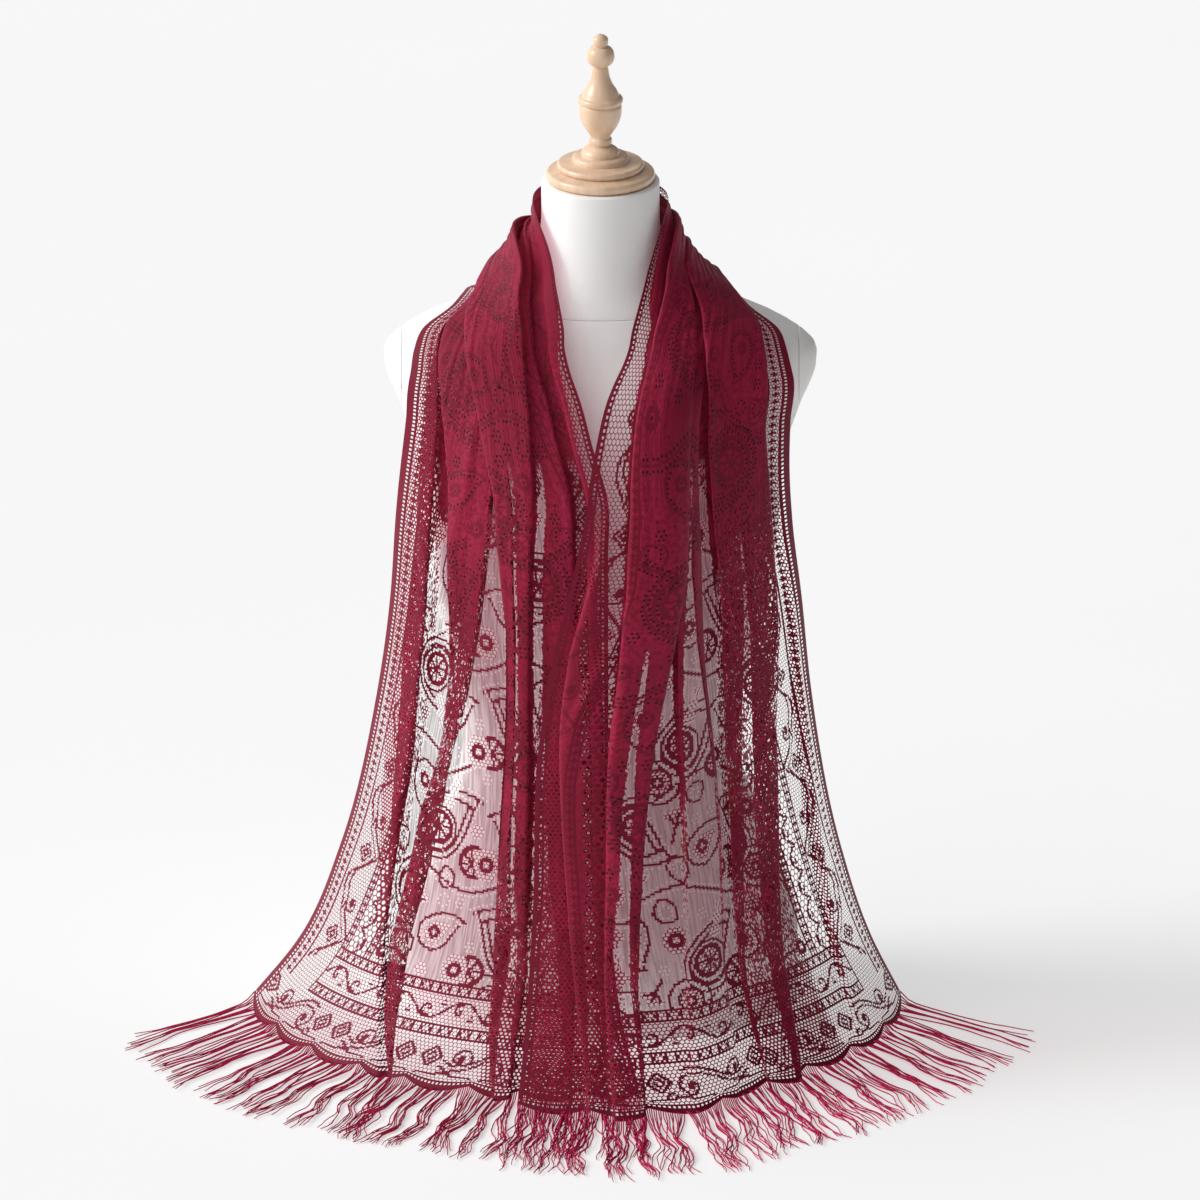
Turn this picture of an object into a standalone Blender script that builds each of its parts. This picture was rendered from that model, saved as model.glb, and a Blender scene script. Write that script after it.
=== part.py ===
"""Lace shawl hung round the neck of a limbless dress form, its two ends spread on the table.

The shawl is one length of lace, CLOTH_WIDTH across. It is built in three stretches: left front,
right front and back. Each is a wall of even thickness, lofted through sections that fold like cloth:
the direction of a section swings to and fro about a base line laid round the form, by just as much
as it takes to gather the full width of the cloth into that line. +Z is up and the front faces -Y.
The origin is where the axis of the form meets the table. All sizes are metres.
"""
import math
from typing import NamedTuple

import bmesh
import bpy
import numpy as np
from mathutils import Vector

# ---------------------------------------------------------------- driving sizes
CLOTH_WIDTH = 0.500
HALF_LENGTH = 0.885            # from one hem to the middle of the back, along the cloth
SHOULDER_SEAM = 0.715          # along the cloth from the hem, where a front stretch meets the back one
WALL = 0.0013
GAP = 0.0003                   # between pieces that meet
SEAM_GAP = 0.0010              # along the cloth, between stretches; where it gathers they lie closer

FOLDS_ACROSS = 7
COLUMNS_PER_FOLD = 6
COLUMNS = FOLDS_ACROSS * COLUMNS_PER_FOLD
OVERLAP_LIFT = 0.033           # how far the right stretch stands in front of the left one at the centre
FORM_CLEARANCE = 0.0048        # from the middle of the cloth to the form

SCALLOPS = 8
SCALLOP_DEPTH = 0.008
SCALLOP_REACH = 0.016          # height of cloth within which the scallops are shaped

STRANDS_EACH_END = 60
FRINGE_LENGTH = 0.140
STRAND_ROOT = 0.0016
STRIP_HEIGHT = 0.0015
STRIP_CLEARANCE = 0.0016
HIDDEN_LENGTH = 0.014          # strands of the left end that lie behind the right stretch
HIDDEN_FROM = -0.072           # how far left of the middle those strands start
SIDE_HEADING = 38              # degrees from the side in which the strand at a side runs; 90 is forward
STRAND_TURN = 0.012            # how far the heading of a strand sways, in radians
STRAND_BEND = 0.008            # bend at its middle, and change of length from strand to strand, as shares
STRAND_UNEVEN = 0.06
STRAND_TAPER_FROM = 0.45       # share of its length at which a strand begins to taper to its point

NECK_TOP = 0.738
NECK_SEAM_HEIGHT = 0.640       # on the axis; the seam rises towards the back
NECK_SEAM_SLOPE = 0.16
ARM_PLATE_PLANE = 0.168        # distance of each arm plate's seam from the middle
SEGMENTS_ROUND_FORM = 32
SEGMENTS_ROUND_WOOD = 18


class Level(NamedTuple):
    """One level of the dress form or of the surface that the cloth is draped over."""
    height: float
    left: float
    right: float
    front: float
    back: float


class Station(NamedTuple):
    """Where the two edges of the cloth lie, at one distance from the hem.

    Angles are in degrees round the axis, from each stretch's own side of the form: 0 at the side,
    90 at the middle of the front and -90 at the middle of the back.
    """
    along: float
    outer_height: float
    inner_height: float
    left_outer: float
    left_inner: float
    right_outer: float
    right_inner: float


class Fold(NamedTuple):
    """One fold: how far it lies from the outer edge, and how strong it is, at the top and at each hem."""
    top_place: float
    top_strength: float
    left_place: float
    left_strength: float
    right_place: float
    right_strength: float


class WheelRow(NamedTuple):
    """A row of lace wheels: distance from the hem, and the first column of each wheel's gaps."""
    along: float
    columns: tuple


class TurnedPoint(NamedTuple):
    """A point of a turned outline."""
    height: float
    radius: float


FORM = (
    Level(0.000, 0.168, 0.168, 0.112, 0.118),
    Level(0.060, 0.170, 0.170, 0.116, 0.124),
    Level(0.150, 0.142, 0.142, 0.101, 0.104),
    Level(0.235, 0.116, 0.116, 0.087, 0.086),
    Level(0.320, 0.131, 0.131, 0.101, 0.094),
    Level(0.400, 0.147, 0.147, 0.126, 0.101),
    Level(0.440, 0.152, 0.152, 0.133, 0.104),
    Level(0.500, 0.157, 0.157, 0.119, 0.108),
    Level(0.540, 0.170, 0.170, 0.099, 0.106),
    Level(0.577, 0.183, 0.183, 0.080, 0.100),
    Level(0.592, 0.181, 0.181, 0.072, 0.095),
    Level(0.600, 0.172, 0.172, 0.068, 0.092),
    Level(0.613, 0.149, 0.149, 0.063, 0.087),
    Level(0.623, 0.123, 0.123, 0.060, 0.083),
    Level(0.635, 0.095, 0.095, 0.057, 0.075),
    Level(0.650, 0.070, 0.070, 0.054, 0.065),
    Level(0.665, 0.057, 0.057, 0.0525, 0.057),
    Level(0.690, 0.0515, 0.0515, 0.051, 0.0515),
    Level(NECK_TOP, 0.050, 0.050, 0.050, 0.050),
)

DRAPE = (
    Level(0.000, 0.300, 0.259, 0.256, 0.200),
    Level(0.064, 0.257, 0.231, 0.228, 0.190),
    Level(0.150, 0.224, 0.207, 0.203, 0.175),
    Level(0.287, 0.197, 0.186, 0.178, 0.160),
    Level(0.377, 0.188, 0.180, 0.166, 0.150),
    Level(0.455, 0.186, 0.178, 0.155, 0.135),
    Level(0.541, 0.187, 0.184, 0.124, 0.122),
    Level(0.580, 0.190, 0.190, 0.099, 0.114),
    Level(0.600, 0.177, 0.177, 0.086, 0.106),
    Level(0.613, 0.157, 0.157, 0.079, 0.105),
    Level(0.626, 0.124, 0.124, 0.073, 0.098),
    Level(0.643, 0.094, 0.094, 0.067, 0.086),
    Level(0.665, 0.072, 0.072, 0.061, 0.074),
    Level(0.690, 0.061, 0.061, 0.059, 0.067),
    Level(0.715, 0.058, 0.058, 0.057, 0.062),
    Level(0.740, 0.056, 0.056, 0.056, 0.059),
)

STATIONS = (
    Station(0.000, 0.000, 0.000, 1.5, 97, 1.5, 104),
    Station(0.075, 0.064, 0.064, 6, 94, 5, 104),
    Station(0.190, 0.167, 0.167, 9.5, 92, 10, 104),
    Station(0.330, 0.300, 0.300, 15, 92, 15, 104),
    Station(0.410, 0.377, 0.377, 18, 92, 18, 101),
    Station(0.490, 0.455, 0.455, 21, 92, 24, 96),
    Station(0.535, 0.498, 0.498, 24, 92, 27, 93.5),
    Station(0.580, 0.540, 0.541, 28, 91, 29, 92),
    Station(0.625, 0.578, 0.585, 32, 85, 31, 87),
    Station(0.665, 0.600, 0.628, 27, 72, 27, 73),
    Station(0.700, 0.614, 0.662, 17, 57, 17, 59),
    Station(0.735, 0.626, 0.688, 2, 40, 2, 42),
    Station(0.775, 0.627, 0.706, -18, 10, -18, 10),
    Station(0.825, 0.611, 0.713, -50, -38, -50, -38),
    Station(HALF_LENGTH, 0.582, 0.714, -90, -90, -90, -90),
)

FOLDS = (
    Fold(0.040, 0.12, 0.050, 0.25, 0.045, 0.50),
    Fold(0.115, 0.7, 0.135, 0.90, 0.150, 0.80),
    Fold(0.185, 1.0, 0.252, 0.90, 0.225, 1.00),
    Fold(0.250, 1.0, 0.325, 0.40, 0.300, 0.20),
    Fold(0.321, 1.0, 0.385, 1.00, 0.365, 0.90),
    Fold(0.393, 1.0, 0.430, 1.00, 0.420, 1.00),
    Fold(0.464, 1.0, 0.475, 0.90, 0.470, 0.90),
)
FOLDS_SETTLED_AT = 0.60        # along the cloth; above it the folds lie as their top columns say
STEEPEST_LOW = 1.85            # steepest direction of a fold's wall near the hem, in radians
STEEPEST_HIGH = 1.50           # and where the cloth is gathered at the neck

LEFT_WHEELS = (
    WheelRow(0.150, (3, 14, 20)),
    WheelRow(0.270, (9, 15, 21)),
    WheelRow(0.400, (3, 14, 20)),
)
RIGHT_WHEELS = (
    WheelRow(0.150, (4, 21, 27)),
    WheelRow(0.270, (9, 21, 33)),
    WheelRow(0.400, (4, 21, 27)),
)
WHEEL_PITCH = 0.011            # height of one gap of a wheel
WHEEL_GAP_SHARE = 0.62         # share of its cell that a gap takes, each way
ROW_PITCH = 0.055              # between the rows of a stretch away from the wheels
SHOULDER_ROWS_FROM = 0.570     # along the cloth; from here the rows of a front stretch lie closer
SHOULDER_ROWS = 5
BACK_ROWS = 7                  # from a shoulder seam to the middle of the back
FINE_GATHER = 0.46             # share of the width in gathers too fine for these walls, at the neck
GATHERS_FROM, GATHERS_TO = 0.10, 0.68      # along the cloth, where that share grows from none to its full
TIGHTENS_FROM, TIGHTENS_TO = 0.45, 0.66    # along the cloth, between the two steepest directions
OVERLAP_ANGLES = (56, 76)      # degrees round the form over which the right stretch lifts off the left one
OVERLAP_HEIGHTS = (0.56, 0.62) # heights over which that lift goes back to nothing
LEVEL_HEIGHTS = (0.52, 0.60)   # below the first, the cloth is folded in level planes
BASE_STEPS = 240               # steps along the base line of a section
STEPS_PER_COLUMN = 16          # steps in which the folds of a section are added up
HALVINGS = 40                  # of the range in which the tightness of the folds is sought
CLEARING_HALVINGS = 18         # of the distance by which a point is moved clear of the form
CLEARING_REACH = 0.06          # the most that a point is moved
SMALL_SHARE = 0.004            # steps from which normals are measured
SMALL_STEP = 0.004


# ---------------------------------------------------------------- reading the tables
def column(table, name):
    """Values of one named column."""
    return np.array([getattr(row, name) for row in table], dtype=float)


def read(table, key, name, at):
    """Smooth value of a column at the given keys: a cubic through the table's rows."""
    keys = column(table, key)
    values = column(table, name)
    slopes = np.gradient(values, keys)
    at = np.clip(at, keys[0], keys[-1])
    low = np.clip(np.searchsorted(keys, at) - 1, 0, len(keys) - 2)
    span = keys[low + 1] - keys[low]
    t = (at - keys[low]) / span
    rise = values[low + 1] - values[low]
    bend_in = slopes[low] * span - rise
    bend_out = rise - slopes[low + 1] * span
    return values[low] + t * rise + t * (1 - t) * ((1 - t) * bend_in + t * bend_out)


def ease(value, start, end):
    """0 before start, 1 after end, smooth between."""
    t = np.clip((value - start) / (end - start), 0, 1)
    return t * t * (3 - 2 * t)


def surface_point(table, side, angle, height):
    """Point on the oval of a table's level; side is -1 for left and 1 for right."""
    half_width = read(table, "height", "left" if side < 0 else "right", height)
    front = read(table, "height", "front", height)
    back = read(table, "height", "back", height)
    depth = np.where(np.sin(angle) > 0, front, back)
    return np.stack([side * half_width * np.cos(angle), -depth * np.sin(angle), height], axis=-1)


def surface_normal(side, angle, height):
    """Outward direction of the draped surface, kept level where the cloth hangs free."""
    turn = 0.01
    step = 0.001
    across = (surface_point(DRAPE, side, angle + turn, height)
              - surface_point(DRAPE, side, angle - turn, height))
    upward = (surface_point(DRAPE, side, angle, height + step)
              - surface_point(DRAPE, side, angle, height - step))
    normal = -side * np.cross(across, upward)
    normal[:, 2] *= ease(height, *LEVEL_HEIGHTS)
    return normal / np.linalg.norm(normal, axis=1, keepdims=True)


def clear_of_form(points):
    """True where a point is outside the dress form by the cloth's clearance."""
    height = points[:, 2]
    half_width = read(FORM, "height", "left", height) + FORM_CLEARANCE
    front = read(FORM, "height", "front", height) + FORM_CLEARANCE
    back = read(FORM, "height", "back", height) + FORM_CLEARANCE
    depth = np.where(points[:, 1] < 0, front, back)
    inside = (points[:, 0] / half_width) ** 2 + (points[:, 1] / depth) ** 2 < 1
    return ~inside


# ---------------------------------------------------------------- folded sections of the cloth
def fold_layout(side, along, share):
    """Distance from the outer edge, and strength of the folds, at shares 0 to 1 of the columns."""
    low = "left" if side < 0 else "right"
    settled = float(ease(along, 0.0, FOLDS_SETTLED_AT))
    places = ((1 - settled) * column(FOLDS, low + "_place")
              + settled * column(FOLDS, "top_place"))
    strengths = ((1 - settled) * column(FOLDS, low + "_strength")
                 + settled * column(FOLDS, "top_strength"))
    crests = (np.arange(FOLDS_ACROSS) + 0.5) / FOLDS_ACROSS
    knots = np.concatenate([[0.0], crests, [1.0]])
    across = np.interp(share, knots, np.concatenate([[0.0], places, [CLOTH_WIDTH]]))
    return across, np.interp(share, crests, strengths)


def folded(across, wave, steepest, length):
    """Gather a width of cloth into a length: steps along the base line and away from it."""
    widths = np.diff(across)
    middle = (wave[1:] + wave[:-1]) / 2
    low, high = 0.0, 40.0
    for _ in range(HALVINGS):
        tightness = (low + high) / 2
        reach = np.sum(np.cos(steepest * np.tanh(tightness * middle)) * widths)
        if reach > length:
            low = tightness
        else:
            high = tightness
    direction = steepest * np.tanh(tightness * middle)
    forward = np.concatenate([[0.0], np.cumsum(np.cos(direction) * widths)])
    outward = np.concatenate([[0.0], np.cumsum(np.sin(direction) * widths)])
    outward -= outward[-1] * across / across[-1]
    return forward, outward - outward.mean()


def section(side, along, shares):
    """Points of the cloth across its width, from the outer edge to the inner one."""
    low = "left" if side < 0 else "right"
    outer_angle = math.radians(read(STATIONS, "along", low + "_outer", along))
    inner_angle = math.radians(read(STATIONS, "along", low + "_inner", along))
    outer_height = read(STATIONS, "along", "outer_height", along)
    inner_height = read(STATIONS, "along", "inner_height", along)

    base_share = np.linspace(0, 1, BASE_STEPS + 1)
    base_angle = outer_angle + (inner_angle - outer_angle) * base_share
    base_height = outer_height + (inner_height - outer_height) * base_share
    base = surface_point(DRAPE, side, base_angle, base_height)
    run = np.concatenate([[0.0], np.cumsum(np.linalg.norm(np.diff(base, axis=0), axis=1))])

    fine_share = np.linspace(0, 1, COLUMNS * STEPS_PER_COLUMN + 1)
    across, strength = fold_layout(side, along, fine_share)
    across = across * (1 - FINE_GATHER * float(ease(along, GATHERS_FROM, GATHERS_TO)))
    wave = strength * np.sin(2 * math.pi * FOLDS_ACROSS * fine_share)
    tightened = float(ease(along, TIGHTENS_FROM, TIGHTENS_TO))
    steepest = STEEPEST_LOW + (STEEPEST_HIGH - STEEPEST_LOW) * tightened
    forward, outward = folded(across, wave, steepest, run[-1])

    at = np.interp(np.interp(shares, fine_share, forward), run, base_share)
    angle = outer_angle + (inner_angle - outer_angle) * at
    height = outer_height + (inner_height - outer_height) * at
    away = np.interp(shares, fine_share, outward)
    if side > 0:
        away = away + OVERLAP_LIFT * (ease(np.degrees(angle), *OVERLAP_ANGLES)
                                      * (1 - ease(height, *OVERLAP_HEIGHTS)))
    start = surface_point(DRAPE, side, angle, height)
    normal = surface_normal(side, angle, height)
    return start + normal * lifted(start, normal, away)[:, None]


def lifted(start, normal, away):
    """The distance away from the base line, or as much more as keeps clear of the form."""
    low = away.copy()
    high = away + CLEARING_REACH
    for _ in range(CLEARING_HALVINGS):
        middle = (low + high) / 2
        clear = clear_of_form(start + normal * middle[:, None])
        high = np.where(clear, middle, high)
        low = np.where(clear, low, middle)
    return np.where(clear_of_form(start + normal * away[:, None]), away, high)


def row_normals(side, along, shares):
    """Unit normals of the cloth along one section, from small steps across and along it."""
    ahead = section(side, along, np.clip(shares + SMALL_SHARE, 0, 1))
    behind = section(side, along, np.clip(shares - SMALL_SHARE, 0, 1))
    upward = (section(side, min(along + SMALL_STEP, HALF_LENGTH), shares)
              - section(side, max(along - SMALL_STEP, 0.0), shares))
    normal = side * np.cross(upward, ahead - behind)
    return normal / np.linalg.norm(normal, axis=1, keepdims=True)


def hem_section(side, shares):
    """The scalloped end of the cloth, its tips on the table."""
    across = fold_layout(side, 0.0, shares)[0]
    turn = across / CLOTH_WIDTH * SCALLOPS
    lift = SCALLOP_DEPTH * (1 - np.abs(np.sin(math.pi * turn)))
    part = (lift / SCALLOP_REACH)[:, None]
    return (1 - part) * section(side, 0.0, shares) + part * section(side, SCALLOP_REACH, shares)


# ---------------------------------------------------------------- walls
def row_places(wheels, last):
    """Distances from the hem of a front stretch's rows, with three rows for each row of wheels."""
    fixed = [row.along + k * WHEEL_PITCH for row in wheels for k in (-1, 0, 1)]
    places = [0.0]
    for place in fixed + [SHOULDER_ROWS_FROM]:
        steps = max(1, round((place - places[-1]) / ROW_PITCH))
        places += list(np.linspace(places[-1], place, steps + 1)[1:])
    return places + list(np.linspace(SHOULDER_ROWS_FROM, last, SHOULDER_ROWS + 1)[1:])


def wall_mesh(bm, grid, normals, flip, gaps):
    """Closed wall round a grid of points, with a gap cut through each cell that gaps names."""
    rows, columns = grid.shape[:2]
    skins = []
    for way in (0.5, -0.5):
        points = grid + normals * (WALL * way)
        points[..., 2] = np.maximum(points[..., 2], 0.0)
        skins.append([[bm.verts.new(point) for point in row] for row in points])

    def face(corners, reverse):
        bm.faces.new(corners[::-1] if reverse != flip else corners)

    def quad(a, b, c, d, reverse):
        face((a, b, c), reverse)
        face((a, c, d), reverse)

    def hole_corners(skin, r, c):
        corners = [skin[r][c].co, skin[r][c + 1].co, skin[r + 1][c + 1].co, skin[r + 1][c].co]
        inset = (1 - WHEEL_GAP_SHARE) / 2
        made = []
        for u, v in ((inset, inset), (1 - inset, inset), (1 - inset, 1 - inset), (inset, 1 - inset)):
            top = corners[0].lerp(corners[1], u)
            bottom = corners[3].lerp(corners[2], u)
            made.append(bm.verts.new(top.lerp(bottom, v)))
        return made

    for r in range(rows - 1):
        for c in range(columns - 1):
            rings = []
            for skin, reverse in ((skins[0], False), (skins[1], True)):
                corners = [skin[r][c], skin[r][c + 1], skin[r + 1][c + 1], skin[r + 1][c]]
                if (r, c) not in gaps:
                    quad(*corners, reverse)
                    continue
                hole = hole_corners(skin, r, c)
                rings.append(hole)
                for k in range(4):
                    n = (k + 1) % 4
                    quad(corners[k], corners[n], hole[n], hole[k], reverse)
            for k in range(4 if rings else 0):
                n = (k + 1) % 4
                quad(rings[0][k], rings[0][n], rings[1][n], rings[1][k], False)

    outer, inner = skins
    rim = [(0, c) for c in range(columns - 1)]
    rim += [(r, columns - 1) for r in range(rows - 1)]
    rim += [(rows - 1, c) for c in range(columns - 1, 0, -1)]
    rim += [(r, 0) for r in range(rows - 1, 0, -1)]
    for k, (r, c) in enumerate(rim):
        next_r, next_c = rim[(k + 1) % len(rim)]
        quad(outer[next_r][next_c], outer[r][c], inner[r][c], inner[next_r][next_c], False)


def front_stretch(name, side, wheels, material):
    """One front stretch of the shawl, from its scalloped hem to the shoulder."""
    shares = np.linspace(0, 1, COLUMNS + 1)
    places = row_places(wheels, SHOULDER_SEAM - SEAM_GAP / 2)
    rows = [hem_section(side, shares)]
    rows += [section(side, place, shares) for place in places[1:]]
    normals = [row_normals(side, place, shares) for place in places]
    gaps = set()
    for row in wheels:
        middle = int(np.argmin(np.abs(np.array(places) - row.along)))
        gaps |= {(r, c + k) for r in (middle - 1, middle) for c in row.columns for k in (0, 1)}
    bm = bmesh.new()
    wall_mesh(bm, np.array(rows), np.array(normals), side > 0, gaps)
    return finish(name, bm, material)


def back_stretch(name, material):
    """The stretch gathered round the back of the neck, from one shoulder to the other."""
    shares = np.linspace(0, 1, COLUMNS + 1)
    half = np.linspace(SHOULDER_SEAM + SEAM_GAP / 2, HALF_LENGTH, BACK_ROWS)
    halves = [(-1, along) for along in half] + [(1, along) for along in half[-2::-1]]
    rows = [section(side, along, shares) for side, along in halves]
    normals = [row_normals(side, along, shares) for side, along in halves]
    bm = bmesh.new()
    wall_mesh(bm, np.array(rows), np.array(normals), False, set())
    return finish(name, bm, material)


# ---------------------------------------------------------------- fringe
def fringe(name, side, material):
    """Strands lying on the table, their roots in a narrow strip just outside the hem."""
    line = hem_section(side, np.linspace(0, 1, COLUMNS + 1))
    run = np.concatenate([[0.0], np.cumsum(np.linalg.norm(np.diff(line, axis=0), axis=1))])
    tangent = np.gradient(line, axis=0)
    out = np.stack([-tangent[:, 1], tangent[:, 0], np.zeros(len(line))], axis=1)
    out *= side / np.linalg.norm(out, axis=1, keepdims=True)
    pitch = (run[-1] - STRAND_ROOT) / (STRANDS_EACH_END - 1)
    marks = np.array([k * pitch + e for k in range(STRANDS_EACH_END) for e in (0, STRAND_ROOT)])

    def at_marks(values):
        return np.stack([np.interp(marks, run, values[:, axis]) for axis in range(3)], axis=1)

    root = at_marks(line)
    away = at_marks(out)
    away /= np.linalg.norm(away, axis=1, keepdims=True)
    root[:, 2] = np.maximum(root[:, 2], GAP)
    inner = root + away * (WALL / 2 + STRIP_CLEARANCE)
    outer = inner + away * STRAND_ROOT
    rise = np.array([0, 0, STRIP_HEIGHT])

    bm = bmesh.new()
    spine = [bm.verts.new(p + rise / 2) for p in inner]
    top = [bm.verts.new(p + rise) for p in outer]
    foot = [bm.verts.new(p) for p in outer]

    def quad(a, b, c, d):
        corners = (a, b, c, d) if side > 0 else (d, c, b, a)
        bm.faces.new((corners[0], corners[1], corners[2]))
        bm.faces.new((corners[0], corners[2], corners[3]))

    for k in range(len(marks) - 1):
        quad(spine[k], spine[k + 1], top[k + 1], top[k])
        quad(foot[k], foot[k + 1], spine[k + 1], spine[k])
        if k % 2:
            quad(top[k], top[k + 1], foot[k + 1], foot[k])
    for end, order in ((0, 1), (len(marks) - 1, -1)):
        corners = (spine[end], top[end], foot[end])
        bm.faces.new(corners[::order * side])
    for k in range(STRANDS_EACH_END):
        strand(bm, quad, side, [top[2 * k], top[2 * k + 1], foot[2 * k + 1], foot[2 * k]], k)
    return finish(name, bm, material)


def strand(bm, quad, side, root, number):
    """One strand: it drops from its root to the table and runs out to a point."""
    middle = sum((v.co for v in root), Vector()) / 4
    round_form = math.atan2(-middle.y, side * middle.x)
    heading = math.radians(SIDE_HEADING) + round_form * (90 - SIDE_HEADING) / 90
    heading += STRAND_TURN * math.sin(number * 2.4)
    length = FRINGE_LENGTH * (1 + STRAND_UNEVEN * math.sin(number * 1.7))
    if side < 0 and middle.x > HIDDEN_FROM:
        length = HIDDEN_LENGTH
    out = Vector((side * math.cos(heading), -math.sin(heading), 0))
    beside = Vector((-out.y, out.x, 0)) * side
    bend = beside * STRAND_BEND * length * math.sin(number * 3.1)
    half = STRAND_ROOT * 0.4
    centre = middle + out * length * STRAND_TAPER_FROM + bend
    centre.z = half + GAP * 2
    ring = [bm.verts.new(centre + beside * (half * s) + Vector((0, 0, half * t)))
            for s, t in ((1, 1), (-1, 1), (-1, -1), (1, -1))]
    tip = middle + out * length
    tip.z = centre.z
    tip = bm.verts.new(tip)
    for k in range(4):
        n = (k + 1) % 4
        quad(root[k], root[n], ring[n], ring[k])
        corners = (ring[k], ring[n], tip)
        bm.faces.new(corners if side > 0 else corners[::-1])


# ---------------------------------------------------------------- dress form
def form_loft(low, high):
    """Closed loft of the dress form between two heights."""
    heights = sorted({low, high} | {row.height for row in FORM if low < row.height < high})
    heights = np.array(sorted(heights + [0.100, 0.190, 0.280, 0.360]) if low < 0.1 else heights)
    turns = np.arange(SEGMENTS_ROUND_FORM) * 2 * math.pi / SEGMENTS_ROUND_FORM
    bm = bmesh.new()
    rings = []
    for height in heights:
        points = surface_point(FORM, 1, turns, np.full(len(turns), height))
        rings.append([bm.verts.new(point) for point in points])
    for lower, upper in zip(rings, rings[1:]):
        for k in range(SEGMENTS_ROUND_FORM):
            n = (k + 1) % SEGMENTS_ROUND_FORM
            bm.faces.new((lower[k], upper[k], upper[n], lower[n]))
    bm.faces.new(rings[0])
    bm.faces.new(rings[-1][::-1])
    return bm


def keep_side(bm, point, normal):
    """Cut a closed mesh by a plane and keep the side that the normal points away from."""
    everything = bm.verts[:] + bm.edges[:] + bm.faces[:]
    cut = bmesh.ops.bisect_plane(bm, geom=everything, dist=1e-6, plane_co=point, plane_no=normal,
                                 clear_outer=True)
    edges = [item for item in cut["geom_cut"] if isinstance(item, bmesh.types.BMEdge)]
    bmesh.ops.contextual_create(bm, geom=edges)


def build_form(canvas):
    """Torso, neck and arm plates of the dress form."""
    neck_seam = Vector((0, 0, NECK_SEAM_HEIGHT))
    neck_tilt = Vector((0, -NECK_SEAM_SLOPE, 1)).normalized()
    torso = form_loft(0.0, 0.690)
    keep_side(torso, neck_seam, neck_tilt)
    for side in (-1, 1):
        keep_side(torso, Vector((side * ARM_PLATE_PLANE, 0, 0)), Vector((side, 0, 0)))
    finish("form_torso", torso, canvas)

    neck = form_loft(0.600, NECK_TOP)
    keep_side(neck, neck_seam + neck_tilt * GAP, -neck_tilt)
    finish("form_neck", neck, canvas)

    for side, name in ((-1, "form_plate_left"), (1, "form_plate_right")):
        plate = form_loft(0.500, 0.640)
        plane = Vector((side * (ARM_PLATE_PLANE + GAP), 0, 0))
        keep_side(plate, plane, Vector((-side, 0, 0)))
        finish(name, plate, canvas)


# ---------------------------------------------------------------- turned wood
def bead(low, high, root, swell, steps=4):
    """Outline of a rounded bead between two heights that stands out from its root radius."""
    turns = np.linspace(-math.pi / 2, math.pi / 2, steps + 1)
    return [TurnedPoint((low + high) / 2 + (high - low) / 2 * math.sin(t), root + swell * math.cos(t))
            for t in turns]


def turned(name, outline, material):
    """Turn an outline round the axis, closed at both ends."""
    bm = bmesh.new()
    turns = [k * 2 * math.pi / SEGMENTS_ROUND_WOOD for k in range(SEGMENTS_ROUND_WOOD)]
    rings = [[bm.verts.new((radius * math.cos(t), radius * math.sin(t), height)) for t in turns]
             for height, radius in outline]
    for lower, upper in zip(rings, rings[1:]):
        for k in range(SEGMENTS_ROUND_WOOD):
            n = (k + 1) % SEGMENTS_ROUND_WOOD
            bm.faces.new((lower[k], lower[n], upper[n], upper[k]))
    bm.faces.new(rings[0][::-1])
    bm.faces.new(rings[-1])
    return finish(name, bm, material)


def build_wood(wood):
    """Stepped cap on the neck, and the urn-shaped finial that stands on it."""
    foot = NECK_TOP + GAP
    cap = [TurnedPoint(foot, 0.0445)]
    cap += bead(foot + 0.0004, 0.7465, 0.0435, 0.0027)
    cap += [TurnedPoint(0.7475, 0.0395)]
    cap += bead(0.7485, 0.7540, 0.0345, 0.0023, 3)
    cap += [TurnedPoint(0.7545, 0.0285), TurnedPoint(0.7555, 0.0240), TurnedPoint(0.7590, 0.0236)]
    cap += [TurnedPoint(0.7605, 0.0168), TurnedPoint(0.7650, 0.0150), TurnedPoint(0.7690, 0.0096)]
    turned("wood_cap", cap, wood)

    finial = [TurnedPoint(0.7690 + GAP, 0.0092)]
    finial += bead(0.7700, 0.7760, 0.0086, 0.0013, 3)
    finial += [TurnedPoint(0.7775, 0.0085), TurnedPoint(0.7830, 0.0122), TurnedPoint(0.7900, 0.0160)]
    finial += [TurnedPoint(0.7970, 0.0178), TurnedPoint(0.8040, 0.0181)]
    finial += bead(0.8062, 0.8125, 0.0168, 0.0024, 3)
    finial += [TurnedPoint(0.8140, 0.0158), TurnedPoint(0.8175, 0.0142), TurnedPoint(0.8235, 0.0105)]
    finial += [TurnedPoint(0.8300, 0.0080), TurnedPoint(0.8380, 0.0066)]
    finial += bead(0.8402, 0.8570, 0.0060, 0.0060, 6)
    finial += [TurnedPoint(0.8575, 0.0058), TurnedPoint(0.8615, 0.0066), TurnedPoint(0.8655, 0.0055)]
    finial += [TurnedPoint(0.8675, 0.0025)]
    turned("wood_finial", finial, wood)


# ---------------------------------------------------------------- objects and materials
def finish(name, bm, material):
    """Turn a mesh into a smooth-shaded object with its material."""
    mesh = bpy.data.meshes.new(name)
    bm.to_mesh(mesh)
    bm.free()
    mesh.materials.append(material)
    mesh.shade_smooth()
    mesh.set_sharp_from_angle(angle=math.radians(50))
    item = bpy.data.objects.new(name, mesh)
    bpy.context.scene.collection.objects.link(item)
    return item


def principled(name, colour, roughness):
    """A plain Principled material."""
    material = bpy.data.materials.new(name)
    material.use_nodes = True
    shader = material.node_tree.nodes["Principled BSDF"]
    shader.inputs["Base Color"].default_value = (*colour, 1.0)
    shader.inputs["Roughness"].default_value = roughness
    shader.inputs["Metallic"].default_value = 0.0
    return material


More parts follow.
